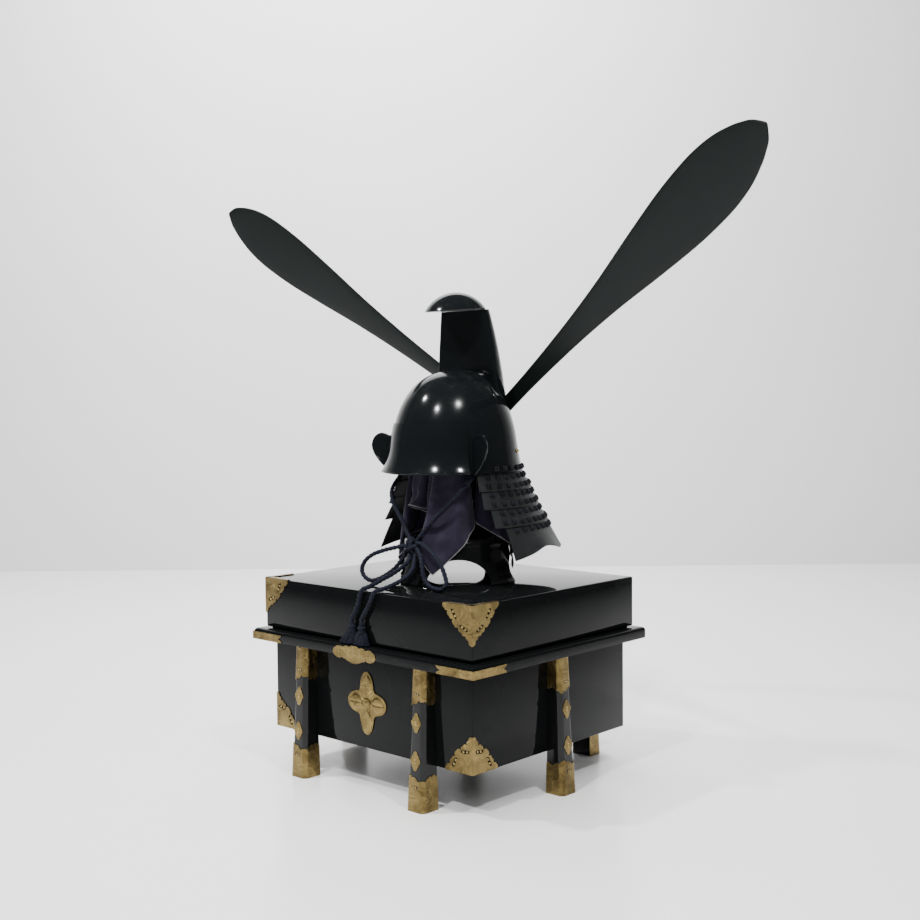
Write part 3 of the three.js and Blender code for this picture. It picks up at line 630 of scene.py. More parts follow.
cordLook = {"radius": 0.005, "sides": 16, "strands": 4, "twist": 0.036, "relief": 0.46, "step": 0.0015}
knotAt = Vector((0.003, -0.137, 0.463))
cordRoutes = {  # millimetres, as in the part's source
    "bow_loop_left": [
        (-8, -138, 463), (-24, -140, 461), (-42, -147, 457), (-62, -156, 451), (-82, -165, 442),
        (-95, -172, 429), (-98, -177, 414), (-89, -179, 401), (-72, -177, 394), (-56, -171, 398),
        (-38, -161, 410), (-25, -153, 423), (-16, -146, 438), (-11, -139, 451),
    ],
    "bow_loop_right": [
        (14, -138, 470), (32, -140, 469), (50, -142, 461), (70, -145, 450), (90, -149, 434),
        (104, -153, 416), (112, -158, 400), (106, -163, 391.5), (90, -165, 391), (72, -164, 396),
        (58, -162, 408), (50, -158, 424), (40, -151, 441), (24, -143, 456), (10, -138, 464),
    ],
    "cord_tail_left": [
        (2, -139, 450), (4, -148, 437), (0, -162, 425), (-7, -182, 413), (-13, -204, 404),
        (-17, -224, 396), (-20, -238, 391.5), (-22, -247, 389), (-25, -250.5, 380),
        (-31, -250, 362), (-40, -250, 345), (-49, -250, 330), (-49, -250, 320),
    ],
    "cord_tail_right": [
        (13.5, -139, 452), (20, -149, 438), (29, -163, 424), (32, -180, 412), (29, -200, 403),
        (24, -220, 396), (19, -236, 391.5), (14, -247, 389), (9, -250.5, 380),
        (-1, -250, 362), (-13, -250, 345), (-22, -250, 330), (-22, -250, 320),
    ],
}
chinFront = [
    (6, -128, 470), (18, -128, 484), (32, -124, 502), (54, -119, 524), (76, -112, 545),
    (91, -99, 566), (96, -80, 584), (98, -58, 599), (102, -34, 607),
]
chinBack = {"x": 107, "y": 130, "z": 609, "middleY": -9}


def braid(i, k):  # share of the full radius at step i of the route, k of the way round
    strands = cordLook["strands"]
    run = i * cordLook["step"] / cordLook["twist"] * strands
    strand = abs(cos(pi * (strands * k + run)) * cos(pi * (strands * k - run)))
    return 1 - cordLook["relief"] * (1 - strand**0.7)


def makeCord(name, points):
    route, length = smoothRoute([Vector(p) / 1000 for p in points])
    verts, faces = tubeMesh(route, cordLook["radius"], cordLook["sides"], relief=braid)
    piece = addPiece(titled(name), verts, faces, "silkCord", [name], 80)


knotLoops = [  # closed loops round the knot's middle: shift and two half-axes
    {"shift": (-0.006, 0, 0.002), "a": (0.0, 0.0075, 0.0), "b": (0.003, 0, 0.0125)},
    {"shift": (0.005, 0, -0.001), "a": (0.002, 0.0075, 0.0), "b": (-0.003, 0, 0.0125)},
    {"shift": (0.0, -0.003, -0.003), "a": (0.0145, 0.001, 0.006), "b": (0, 0.0065, 0.002)},
]


def makeKnot():
    parts = []
    for i, loop in enumerate(knotLoops):
        middle = knotAt + Vector(loop["shift"])
        a, b = Vector(loop["a"]), Vector(loop["b"])
        ring = [middle + a * cos(2 * pi * k / 12) + b * sin(2 * pi * k / 12) for k in range(12)]
        verts, faces = tubeMesh(smoothRoute(ring, closedLoop=True)[0], 0.0052, 16, True, braid)
        nodes = ["bow_knot"] if i == 0 else []
        parts.append(addPiece(f"knotWrap{i}", verts, faces, "silkCord", nodes, 80))
    return parts


tasselLook = {
    "strands": 150, "length": 0.037, "halfWidth": 0.0235, "halfDepth": 0.0078, "thick": 0.0009,
    "turns": 34, "wound": 0.0135, "thread": 0.00045, "start": 0.0004,
    "head": [  # radius at each share of the wound part
        (0.0, 0.0052), (0.12, 0.0072), (0.3, 0.0085), (0.42, 0.0078), (0.5, 0.006), (0.62, 0.0078), (1, 0.0082),
    ],
    "core": [(0.0, 0.005), (0.0135, 0.0075), (0.025, 0.01)],
}
tasselTops = {  # where each tail ends, and how far the tassel drifts sideways below
    "tassel_left": ((-0.049, -0.25, 0.32), -0.009), "tassel_right": ((-0.022, -0.25, 0.32), -0.003),
}


def makeTassel(name):
    top, drift = Vector(tasselTops[name][0]), tasselTops[name][1]
    rng = random.Random(name)
    verts, faces = [], []
    startZ = top.z - tasselLook["start"]
    for k in range(tasselLook["turns"]):  # the wound head, one turn above the other
        t = k / tasselLook["turns"]
        ring = ringAt(top.x, top.y, startZ - tasselLook["wound"] * t, along(tasselLook["head"], t), 20, 0.8)
        addTo(verts, faces, tubeMesh(ring, tasselLook["thread"], 5, True))
    rings = [
        ringAt(top.x + drift * d / 0.036 * 0.6, top.y, startZ - d, r, 20, 0.6) for d, r in tasselLook["core"]
    ]
    addTo(verts, faces, loftMesh(rings))
    for k in range(tasselLook["strands"]):
        angle = rng.uniform(0, 2 * pi)
        reach = rng.uniform(0.55, 1) ** 0.5
        length = tasselLook["length"] * rng.uniform(0.93, 1)
        wave = rng.uniform(-0.0012, 0.0012)
        route = []
        for s in range(7):
            t = s / 6
            grow = lerp(0.42, 1, t**0.8) * reach
            x = top.x + drift * t + tasselLook["halfWidth"] * grow * cos(angle) + wave * sin(5 * t)
            y = top.y - 0.0015 * t + tasselLook["halfDepth"] * grow * sin(angle)
            route.append(Vector((x, y, top.z - 0.012 - (length - 0.012) * t)))
        addTo(verts, faces, tubeMesh(route, tasselLook["thick"], 4))
    return addPiece(titled(name), verts, faces, "tasselSilk", [name], 80)


knotParts = makeKnot()
tassels = {name: makeTassel(name) for name in tasselTops}
makeCord("bow_loop_left", cordRoutes["bow_loop_left"])
makeCord("bow_loop_right", cordRoutes["bow_loop_right"])
makeCord("cord_tail_left", cordRoutes["cord_tail_left"])
makeCord("cord_tail_right", cordRoutes["cord_tail_right"])
backHalf = [
    (chinBack["x"] * cos(pi * k / 8), chinBack["middleY"] + chinBack["y"] * sin(pi * k / 8), chinBack["z"])
    for k in range(1, 8)
]
chinRoute = chinFront + backHalf + [(-x, y, z) for x, y, z in reversed(chinFront)]
makeCord("chin_cord", chinRoute)
print("cords made")


# Bowl: tall dome with a fuller, flared back

bowlLow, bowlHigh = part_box("bowl")
bowl = {
    "middleY": -0.009, "half": bowlHigh[0], "rimZ": bowlLow[2], "height": bowlHigh[2] - bowlLow[2],
    "front": 0.139, "back": 0.132, "backFlare": 0.02, "wall": 0.003, "fullness": 2.4, "columns": 128,
}


def onBowl(angle, z, offset):  # z is the height above the rim
    h = max(0.0, min(z / bowl["height"], 1.0))
    share = (1 - h ** bowl["fullness"]) ** (1 / bowl["fullness"])
    flare = bowl["backFlare"] * max(0.0, 1 - h / 0.3) ** 2
    x = (bowl["half"] * share + offset) * cos(angle)
    reach = (bowl["back"] + flare) if sin(angle) > 0 else bowl["front"]
    y = (reach * share + offset) * sin(angle)
    return Vector((x, bowl["middleY"] + y, bowl["rimZ"] + z))


def bowlTopAt(x, y):  # height of the bowl's outside over a point of the plan
    v = y - bowl["middleY"]
    share = math.hypot(x / bowl["half"], v / (bowl["back"] if v > 0 else bowl["front"]))
    if share >= 1:
        return bowl["rimZ"]
    return bowl["rimZ"] + bowl["height"] * (1 - share ** bowl["fullness"]) ** (1 / bowl["fullness"])


def makeBowl():
    heights = [(1 - (1 - k / 40) ** 1.6) for k in range(40)]
    columns = bowl["columns"]

    def skin(offset):
        rows = [
            [onBowl(2 * pi * c / columns, h * bowl["height"] * 0.999, offset) for c in range(columns)]
            for h in heights
        ]
        top = Vector((0, bowl["middleY"], bowl["rimZ"] + bowl["height"] + offset))
        for share in (0.6, 0.3, 0.1):
            rows.append([
                Vector((lerp(top.x, p.x, share), lerp(top.y, p.y, share), lerp(top.z, p.z, share**2.4)))
                for p in rows[39]
            ])
        return rows

    verts, faces = shellMesh(skin(0), skin(-bowl["wall"]), True)
    addPiece("bowl", verts, faces, "helmetLacquer", ["bowl"])


makeBowl()


# Brow plate over the bowl's front, flared to a rolled rim

peak = {
    "spread": 57, "height": 0.097, "wall": 0.0025, "flare": 0.011, "dip": 0.002, "foot": 0.003,
    "columns": 72, "rows": 26, "bead": 0.0019,
}


def peakPoint(side, rise, offset):
    dip = peak["dip"] * math.exp(-((side / math.radians(28)) ** 2)) * (1 - rise) ** 3
    z = peak["foot"] + rise * (peak["height"] - peak["foot"]) - dip
    swell = peak["flare"] * max(0.0, 1 - rise / 0.5) ** 2 * (1 + 0.35 * sin(2 * abs(side)))
    p = onBowl(side - pi / 2, max(z, 0), seam + offset + swell)
    return Vector((p.x, p.y, bowl["rimZ"] + z))


def makePeak():
    spread, columns, rows = peak["spread"], peak["columns"], peak["rows"]
    sides = [math.radians(lerp(-spread, spread, c / columns)) for c in range(columns + 1)]
    outer, inner = (
        [[peakPoint(side, (r / rows) ** 1.5, offset) for side in sides] for r in range(rows + 1)]
        for offset in (peak["wall"], 0)
    )
    verts, faces = shellMesh(outer, inner, False)
    addPiece("browPlate", verts, faces, "helmetLacquer", ["peak"])
    rim = [peakPoint(side, 0, peak["wall"] / 2) for side in sides]
    verts, faces = tubeMesh(rim, peak["bead"], 10)
    addPiece("browRim", verts, faces, "helmetLacquer")


makePeak()


# Neck guard: four lames, laced to each other with rows of paired knots

lames = [
    {"drop": 0.033, "half": 0.132, "back": 0.176, "open": -27},
    {"drop": 0.067, "half": 0.144, "back": 0.193, "open": -25},
    {"drop": 0.102, "half": 0.160, "back": 0.216, "open": -19},
    {"drop": 0.152, "half": 0.188, "back": 0.241, "open": -10},
]
lameFit = {"wall": 0.002, "gap": 0.0009, "overlap": 0.01, "columns": 96, "bead": 0.0016}
lastHem = [(-10, 0.011), (4, 0.002), (15, -0.009), (26, -0.005), (38, 0.003), (60, 0.001), (90, 0)]
lacing = {"spacing": 0.0245, "wide": 0.006, "high": 0.012, "deep": 0.0055, "pairGap": 0.0064}


def lameAt(i):
    onTop = {"drop": 0, "half": bowl["half"], "back": bowl["back"] + bowl["backFlare"]}
    above = lames[i - 1] if i else onTop
    inset = (lameFit["wall"] if i else bowl["wall"]) + lameFit["gap"]
    return above, {"half": above["half"] - inset, "back": above["back"] - inset}


def onLame(i, t, angle, offset):  # t is 0 at the lower edge, 1 where the lame above starts
    above, start = lameAt(i)
    row = {key: lerp(lames[i][key], start[key], t) for key in ("half", "back")}
    z = -lerp(lames[i]["drop"], above["drop"], t)
    x = (row["half"] - offset) * cos(angle)
    y = ((row["back"] if sin(angle) > 0 else row["half"]) - offset) * sin(angle)
    if i == 3:
        degrees = math.degrees(angle)
        z -= along(lastHem, min(degrees, 180 - degrees)) * max(0.0, 1 - t) ** 1.5
    return Vector((x, bowl["middleY"] + y, bowl["rimZ"] + z))


def addLace(verts, faces, origin, tangent, upward, outward):
    rings = []
    for j in range(7):
        v = -1 + 2 * j / 6
        ring = []
        for k in range(10):
            angle = 2 * pi * k / 10
            fat = (1 - abs(v) ** 3) ** 0.5 * 0.85 + 0.02
            ring.append(
                origin + tangent * (lacing["wide"] / 2 * cos(angle) * fat)
                + outward * (lacing["deep"] * (0.35 + 0.65 * max(sin(angle), -0.4)) * fat)
                + upward * (lacing["high"] / 2 * v)
            )
        rings.append(ring)
    addTo(verts, faces, loftMesh(rings))


def laceRow(name, pointAt, first, last):
    verts, faces = [], []
    samples = 200
    points = [pointAt(lerp(first, last, k / samples), 0) for k in range(samples + 1)]
    total = sum((b - a).length for a, b in zip(points, points[1:]))
    count = max(3, round(total / lacing["spacing"]))
    for k in range(count):
        target, gone, index = total * (k + 0.5) / count, 0.0, 0
        while gone < target and index < samples:
            gone += (points[index + 1] - points[index]).length
            index += 1
        angle = lerp(first, last, index / samples)
        here, up = pointAt(angle, 0), pointAt(angle, 1)
        tangent = (pointAt(angle + 0.01, 0) - pointAt(angle - 0.01, 0)).normalized()
        upward = (up - here).normalized()
        outward = tangent.cross(upward).normalized()
        for sign in (-0.5, 0.5):
            knotPlace = here + tangent * lacing["pairGap"] * sign
            addLace(verts, faces, knotPlace, tangent, upward, outward)
    addPiece(name, verts, faces, "lacingSilk", (), 80)


def makeNeckGuard():
    columns, wall = lameFit["columns"], lameFit["wall"]
    for i, lame in enumerate(lames):
        first, last = lame["open"], 180 - lame["open"]
        angles = [math.radians(lerp(first, last, c / columns)) for c in range(columns + 1)]
        skins = [[[onLame(i, k / 10, a, offset) for a in angles] for k in range(11)] for offset in (0, wall)]
        if i:  # the tucked edge follows the inside of the lame above
            t = lameFit["overlap"] / (lames[i - 1]["drop"] - lameAt(i - 1)[0]["drop"])
            for skin, offset in zip(skins, (0, wall)):
                skin.append([onLame(i - 1, t, a, offset + wall + lameFit["gap"]) for a in angles])
        verts, faces = shellMesh(skins[0], skins[1], False)
        addPiece(f"neckLame{i + 1}", verts, faces, "lameLacquer", [f"neck_lame_{i + 1}"])
        edge = [onLame(i, 0, a, wall / 2) for a in angles]
        verts, faces = tubeMesh(edge, lameFit["bead"], 8)
        addPiece(f"neckLameRim{i + 1}", verts, faces, "lameLacquer")
        ends = math.radians(first + 4), math.radians(last - 4)
        for j, t in enumerate([0.75, 0.24] if i < 3 else [0.84]):
            laceRow(f"lacing{i + 1}{'ab'[j]}", lambda a, up, t=t, i=i: onLame(i, t + 0.05 * up, a, 0), *ends)
    ends = math.radians(-12), math.radians(192)
    laceRow("lacingBowl", lambda a, up: onBowl(a, 0.008 + 0.002 * up, 0), *ends)


makeNeckGuard()
print("bowl, peak and neck guard made")


# Turned-out side plates

sidePlate = {
    "angle": -28, "reach": 0.050, "height": 0.074, "sweep": -18, "wall": 0.0025, "edge": 0.0008, "bead": 0.0019,
    "outline": [  # shares of the reach and the height
        (-0.03, 0), (0.4, 0.1), (0.76, 0.32), (0.97, 0.56), (1, 0.74), (0.86, 0.92), (0.6, 1), (0.3, 0.95),
        (-0.03, 0.8),
    ],
}


def makeSidePlates():
    root = onBowl(math.radians(sidePlate["angle"]), 0, 0)
    sweep = math.radians(sidePlate["sweep"])
    points = [(u * sidePlate["reach"], v * sidePlate["height"]) for u, v in sidePlate["outline"]]
    outline = loopOf(points, 8)
    for name, side in (("side_plate_right", 1), ("side_plate_left", -1)):
        spot = (side * root.x, root.y, root.z + 0.001)
        where = facing(spot, (side * cos(sweep), sin(sweep), 0), (0, 0, 1))
        wall, edge = sidePlate["wall"], sidePlate["edge"]
        flatPlate(titled(name), outline, [], wall, edge, where, "helmetLacquer", [name])
        rim = [where @ Vector((*p, 0)) for p in outline if p[0] > 0.001]
        start = max(range(len(rim)), key=lambda k: (rim[k] - rim[k - 1]).length)
        verts, faces = tubeMesh(rim[start:] + rim[:start], sidePlate["bead"], 10)
        addPiece(titled(name) + "Rim", verts, faces, "helmetLacquer")


makeSidePlates()


# Crest: flat-fronted column on the crown, its shallow hood and the rib before it

crest = {
    "footZ": bowl["rimZ"] + 0.127, "hoodZ": bowl["rimZ"] + 0.3195, "hoodRadius": 0.061, "hoodHeight": 0.037,
    "hoodTilt": 4, "hoodY": 0.003, "topHalf": 0.0605, "topFront": 0.0235, "topBack": 0.064, "bulge": 0.005,
    "footHalf": 0.082, "footFront": 0.0345, "footBack": 0.111, "corner": 0.004,
    "ribY": 0.020, "ribWidth": 0.011, "ribHeight": 0.0026, "ribFoot": 0.141,
}


def columnRing(t, raised=0):  # t sets the plan, raised the height
    half = lerp(crest["footHalf"], crest["topHalf"], t)
    front = lerp(crest["footFront"], crest["topFront"], t)
    back = lerp(crest["footBack"], crest["topBack"], t) + 4 * crest["bulge"] * t * (1 - t)
    r = crest["corner"]
    plan = []
    for k in range(5):
        angle = pi + pi / 2 * k / 4
        plan.append((-half + r + r * cos(angle), front + r + r * sin(angle)))
    for k in range(1, 12):
        plan.append((lerp(-half + r, half - r, k / 12), front))
    for k in range(5):
        angle = -pi / 2 + pi / 2 * k / 4
        plan.append((half - r + r * cos(angle), front + r + r * sin(angle)))
    for k in range(1, 40):
        angle = pi * k / 40
        depth = back - front - r
        plan.append((half * cos(angle), front + r + depth * sin(angle)))
    top = crest["hoodZ"] - seam
    tilt = math.radians(crest["hoodTilt"])
    ring = []
    for x, y in plan:
        y += bowl["middleY"]
        z = max(crest["footZ"], bowlTopAt(x, y) + seam)
        if raised:
            full = top + (y - bowl["middleY"] - crest["hoodY"]) * math.tan(tilt)
            z = lerp(z, full, raised)
        ring.append(Vector((x, y, z)))
    return ring


def makeCrest():
    rings = [columnRing(k / 24, k / 24) for k in range(25)]
    verts, faces = loftMesh(rings)
    addPiece("crestColumn", verts, faces, "helmetLacquer", ["crest_column"])
    cap = crest["hoodHeight"] - 0.002
    ball = (crest["hoodRadius"] ** 2 + cap**2) / (2 * cap)
    profile = [(0.0, 0.0), (0.03, 0.0), (crest["hoodRadius"] - 0.0012, 0.0)]
    for k in range(33):
        r = crest["hoodRadius"] * cos(pi / 2 * k / 32)
        profile.append((r, crest["hoodHeight"] - ball + (ball**2 - r**2) ** 0.5))
    tilt = Matrix.Rotation(math.radians(crest["hoodTilt"]), 4, "X")
    where = Matrix.Translation((0, bowl["middleY"] + crest["hoodY"], crest["hoodZ"])) @ tilt
    rings = [[where @ p for p in ringAt(0, 0, z, max(r, 1e-5), 96)] for r, z in profile]
    verts, faces = loftMesh(rings)
    addPiece("crestHood", verts, faces, "helmetLacquer", ["crest_hood"])


def makeRib():
    footShare = (1 - (crest["ribFoot"] / bowl["height"]) ** bowl["fullness"]) ** (1 / bowl["fullness"])
    rings = []
    for s in range(97):
        x = bowl["half"] * footShare * cos(pi * s / 96)
        ring = []
        for k in range(13):
            angle = pi * k / 12
            y = bowl["middleY"] + crest["ribY"] + crest["ribWidth"] / 2 * cos(angle)
            z = bowlTopAt(x, y)
            lift = Vector((x / bowl["half"], 0, (z - bowl["rimZ"]) / bowl["height"])).normalized()
            ring.append(Vector((x, y, z)) + lift * (seam + crest["ribHeight"] * sin(angle) ** 0.7))
        rings.append(ring)
    verts, faces = loftMesh(rings)
    addPiece("crownRib", verts, faces, "helmetLacquer", ["crown_rib"])


makeCrest()
makeRib()


# Wings: two flat leaf-shaped paddles, fixed behind the bowl

wing = {
    "length": 0.829, "thick": 0.007, "halfWidth": 0.062, "rise": 33.4, "sweep": 11.6, "lean": 20,
    "root": (0.025, 0.114, bowl["rimZ"] + 0.127),
}
leaf = [
    (-0.01, 0.24), (0, 0.24), (0.12, 0.26), (0.3, 0.37), (0.45, 0.54), (0.6, 0.79), (0.72, 0.96),
    (0.81, 1.0), (0.86, 0.955), (0.9, 0.855), (0.94, 0.67), (0.965, 0.5), (0.985, 0.33), (1, 0.15),
]


def makeWings():
    rise, sweep = math.radians(wing["rise"]), math.radians(wing["sweep"])
    out = Vector((cos(rise) * cos(sweep), -cos(rise) * sin(sweep), sin(rise)))
    up = (Vector((0, 0, 1)) - out * out.z).normalized()
    up = Matrix.Rotation(math.radians(wing["lean"]), 3, out) @ up
    face = out.cross(up)
    for name, side in (("wing_right", 1), ("wing_left", -1)):
        rings = []
        for k in range(121):
            t = 1 - (1 - k / 120) ** 1.6
            tip = max(0.0, 1 - max(0.0, (t - 0.975) / 0.025) ** 2) ** 0.5
            half = max(along(leaf, t) * tip * wing["halfWidth"], 0.0008)
            thick = wing["thick"] / 2 * min(1, half / 0.006 + 0.25)
            ring = []
            for j in range(28):
                angle = 2 * pi * j / 28
                u = math.copysign(abs(cos(angle)) ** 0.55, cos(angle)) * half
                v = math.copysign(abs(sin(angle)) ** 0.4, sin(angle)) * thick
                v *= 1 - 0.25 * (abs(u) / half) ** 2
                p = Vector(wing["root"]) + out * (t * wing["length"]) + up * u + face * v
                ring.append(Vector((side * p.x, p.y, p.z)))
            rings.append(ring)
        verts, faces = loftMesh(rings)
        addPiece(titled(name), verts, faces, "wingBlack", [name], 45)
    low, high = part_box("wing_socket")
    block = roundBox(Vector(low) + Vector((0, 0.004, 0)), high, 0.002)
    finishPiece("wingSocket", block, "helmetLacquer", ["wing_socket"])


makeWings()
print("crest and wings made")


# Stand: turned drum with four arches, a post and a domed head

standLow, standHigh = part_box("stand")
stand = {
    "foot": 0.129, "drum": 0.105, "height": 0.086, "wall": 0.012, "archHalf": 0.063, "archHeight": 0.051,
    "post": 0.022, "head": 0.060, "headThick": 0.022, "fullness": 2.4, "domeHalf": bowl["half"] - 3 * bowl["wall"],
    "edge": 0.008,
}


def domeDrop(r):
    full = stand["fullness"]
    return bowl["height"] * (1 - (1 - (r / stand["domeHalf"]) ** full) ** (1 / full))


def makeStand():
    h, foot, drum, thick = stand["height"], stand["foot"], stand["drum"], stand["wall"]
    post, head, edge = stand["post"], stand["head"], stand["edge"]
    top = standHigh[2] - standLow[2]
    rim = top - domeDrop(head) - 0.0032
    under = rim - stand["headThick"]
    outerRows = [
        (0.0, foot), (0.004, foot + 0.0005), (0.22 * h, lerp(foot, drum, 0.35)),
        (0.5 * h, lerp(foot, drum, 0.8)), (0.8 * h, drum + 0.0004), (0.93 * h, drum),
    ]
    profile = [(0.0, h - thick), (drum - thick - 0.004, h - thick), (drum - thick, h - thick - 0.004)]
    profile += [(along(outerRows, k * h / 12) - thick, k * h / 12) for k in range(9, -1, -1)]
    profile += [(along(outerRows, 0.93 * h * k / 24), 0.93 * h * k / 24) for k in range(25)]
    for k in range(1, 7):
        angle = pi / 2 * k / 6
        profile.append((drum - edge + edge * cos(angle), 0.93 * h + 0.0077 * sin(angle)))
    profile += [
        (post + 0.012, 1.06 * h), (post + 0.004, 1.11 * h), (post, 1.2 * h), (post, under),
        (post + 0.006, under + 0.003), (head - 0.006, rim - 0.009), (head - 0.001, rim - 0.004), (head, rim),
    ]
    profile += [(head * k / 12, top - domeDrop(head * k / 12)) for k in range(11, 0, -1)] + [(0.0, top)]
    rings = [ringAt(0, bowl["middleY"], standLow[2] + z, max(r, 1e-5), 96) for r, z in profile]
    verts, faces = loftMesh(rings)
    piece = addPiece("stand", verts, faces, "legLacquer", ["stand"])
    half, high = stand["archHalf"], stand["archHeight"]
    arch = [(half, -0.01)]
    arch += [(half * cos(pi * k / 40), high * sin(pi * k / 40)) for k in range(41)]
    arch += [(-half, -0.01)]
    middle = Vector((0, bowl["middleY"], standLow[2]))
    for turn in (math.radians(45), math.radians(135)):
        direction, sideways = Vector((cos(turn), sin(turn), 0)), Vector((-sin(turn), cos(turn), 0))
        ends = [
            [middle + direction * reach + sideways * x + Vector((0, 0, z)) for x, z in arch]
            for reach in (-0.2, 0.2)
        ]
        cutWith(piece, meshOf("archway", *loftMesh(ends)))
    soften(piece.data, 35)
    return piece


standPiece = makeStand()


# Cloth over the stand's head: dropped as a flat square by simulation

cloth = {"side": 0.634, "turn": 25, "grid": 72, "frames": 60, "thick": 0.0012, "hem": 0.0011}


def makeCloth():
    n = cloth["grid"]
    turn = math.radians(cloth["turn"] - 45)
    top = standHigh[2] + 0.003
    verts = []
    for j in range(n + 1):
        for i in range(n + 1):
            u, v = (i / n - 0.5) * cloth["side"], (j / n - 0.5) * cloth["side"]
            ripple = 0.0015 * sin(9 * u / cloth["side"] + 1.3) * cos(8 * v / cloth["side"])
            x = u * cos(turn) - v * sin(turn)
            y = u * sin(turn) + v * cos(turn)
            verts.append((x, bowl["middleY"] + y, top + ripple))
    starts = [j * (n + 1) + i for j in range(n) for i in range(n)]
    faces = [(a, a + 1, a + n + 2, a + n + 1) for a in starts]
    mesh = bpy.data.meshes.new("standCloth")
    mesh.from_pydata(verts, [], faces)
    sheet = linked("standCloth", mesh)
    settle(sheet)
    return sheet


def settle(sheet):
    scene = bpy.context.scene
    floorHit = standPiece.modifiers.new("hit", "COLLISION")
    standPiece.collision.thickness_outer = 0.001
    standPiece.collision.cloth_friction = 12
    fall = sheet.modifiers.new("fall", "CLOTH")
    cfg = fall.settings
    cfg.quality = 8
    cfg.mass = 0.12
    cfg.air_damping = 1.5
    cfg.tension_stiffness = cfg.compression_stiffness = 25
    cfg.shear_stiffness = 12
    cfg.bending_stiffness = 0.9
    cfg.bending_damping = 0.8
    hit = fall.collision_settings
    hit.distance_min = 0.0012
    hit.collision_quality = 4
    hit.use_self_collision = True
    hit.self_distance_min = 0.0022
    fall.point_cache.frame_end = cloth["frames"]
    for number in range(1, cloth["frames"] + 1):
        scene.frame_set(number)
    applyShape(sheet)
    standPiece.modifiers.remove(floorHit)
    scene.frame_set(1)


def dressCloth(sheet):
    n = cloth["grid"]
    border = list(range(n + 1)) + [j * (n + 1) + n for j in range(1, n + 1)]
    border += [n * (n + 1) + i for i in range(n - 1, -1, -1)] + [j * (n + 1) for j in range(n - 1, 0, -1)]
    edge = [sheet.data.vertices[i].co.copy() for i in border]
    smoother = sheet.modifiers.new("smooth", "SUBSURF")
    smoother.levels = smoother.render_levels = 1
    thickener = sheet.modifiers.new("thick", "SOLIDIFY")
    thickener.thickness = cloth["thick"]
    thickener.offset = 0
    applyShape(sheet)
    sheet.data.shade_smooth()
    sheet.data.materials.clear()
    sheet.data.materials.append(finishes["crepeCloth"])
    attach(sheet, "root")
    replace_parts(sheet, "stand_cloth")
    verts, faces = tubeMesh(edge, cloth["hem"], 6, True)
    hem = addPiece("clothHem", verts, faces, "hemThread", (), 80)


clothPiece = makeCloth()
dressCloth(clothPiece)
print("stand and cloth made")


# Chest: hollow body, ledge and lid, each with softened edges

chest = {"edge": 0.0028, "ledgeEdge": 0.006, "bodyWall": 0.012, "lidWall": 0.010, "ledgeThick": 0.022}
bodyLow, bodyHigh = (Vector(v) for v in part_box("chest_body"))
lidLow, lidHigh = (Vector(v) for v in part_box("chest_lid"))
ledgeLow, ledgeHigh = (Vector(v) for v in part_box("chest_ledge"))
chestX = (lidLow.x + lidHigh.x) / 2
ledgeTop = ledgeLow.z + chest["ledgeThick"]


def rectRing(halfX, halfY, z, r):
    ring = []
    for k, (sx, sy) in enumerate(((1, 1), (-1, 1), (-1, -1), (1, -1))):
        for s in range(6):
            angle = pi / 2 * (k + s / 5)
            x = chestX + sx * (halfX - r) + r * cos(angle)
            ring.append(Vector((x, sy * (halfY - r) + r * sin(angle), z)))
    return ring


def frameMesh(profile):  # from (half x, half y, z, corner) rows, closed both ways
    rings = [rectRing(*row) for row in profile]
    count, faces = len(rings[0]), []
    for r in range(len(rings)):
        a, b = r * count, ((r + 1) % len(rings)) * count
        faces += [(a + c, a + (c + 1) % count, b + (c + 1) % count, b + c) for c in range(count)]
    return [p for ring in rings for p in ring], faces


def makeChest():
    body = finishPiece("chestBody", roundBox(bodyLow, bodyHigh, 0.0016), "chestLacquer", ["chest_body"])
    wall, side = chest["bodyWall"], Vector((chest["bodyWall"], chest["bodyWall"], 0))
    above = Vector((bodyHigh.x, bodyHigh.y, 0.4))
    cutWith(body, roundBox(bodyLow + Vector((wall, wall, wall)), above - side, 0.001))
    lid = finishPiece("chestLid", roundBox(lidLow, lidHigh, chest["edge"]), "chestLacquer", ["chest_lid"])
    wall, side = chest["lidWall"], Vector((chest["lidWall"], chest["lidWall"], 0))
    below = Vector((lidLow.x, lidLow.y, 0.2))
    cutWith(lid, roundBox(below + side, lidHigh - Vector((wall, wall, wall)), 0.001))
    for piece in (body, lid):
        soften(piece.data, 30)
    hx, hy = (ledgeHigh.x - ledgeLow.x) / 2, (ledgeHigh.y - ledgeLow.y) / 2
    ix, iy = (bodyHigh.x - bodyLow.x) / 2 + seam, (bodyHigh.y - bodyLow.y) / 2 + seam
    lx, ly = (lidHigh.x - lidLow.x) / 2 - 0.008, (lidHigh.y - lidLow.y) / 2 - 0.008
    e, z0, z1 = chest["ledgeEdge"], ledgeLow.z, ledgeTop
    profile = [
        (ix, iy, z0, 0.0006), (hx - 0.0012, hy - 0.0012, z0, 0.003),
        (hx - 0.0003, hy - 0.0003, z0 + 0.0004, 0.004), (hx, hy, z0 + 0.0014, 0.004),
    ]
    for k in range(7):
        angle = pi / 2 * k / 6
        inset = e - e * cos(angle)
        profile.append((hx - inset, hy - inset, z1 - e + e * sin(angle), 0.004))
    profile += [
        (lx + 0.001, ly + 0.001, z1, 0.002), (lx, ly, z1 + 0.001, 0.002),
        (lx, ly, ledgeHigh.z, 0.002), (ix, iy, ledgeHigh.z, 0.0006),
    ]
    verts, faces = frameMesh(profile)
    addPiece("chestLedge", verts, faces, "chestLacquer", ["chest_ledge"], 30)


makeChest()


# Legs, with a brass cap, a brass shoe and two brass diamonds each

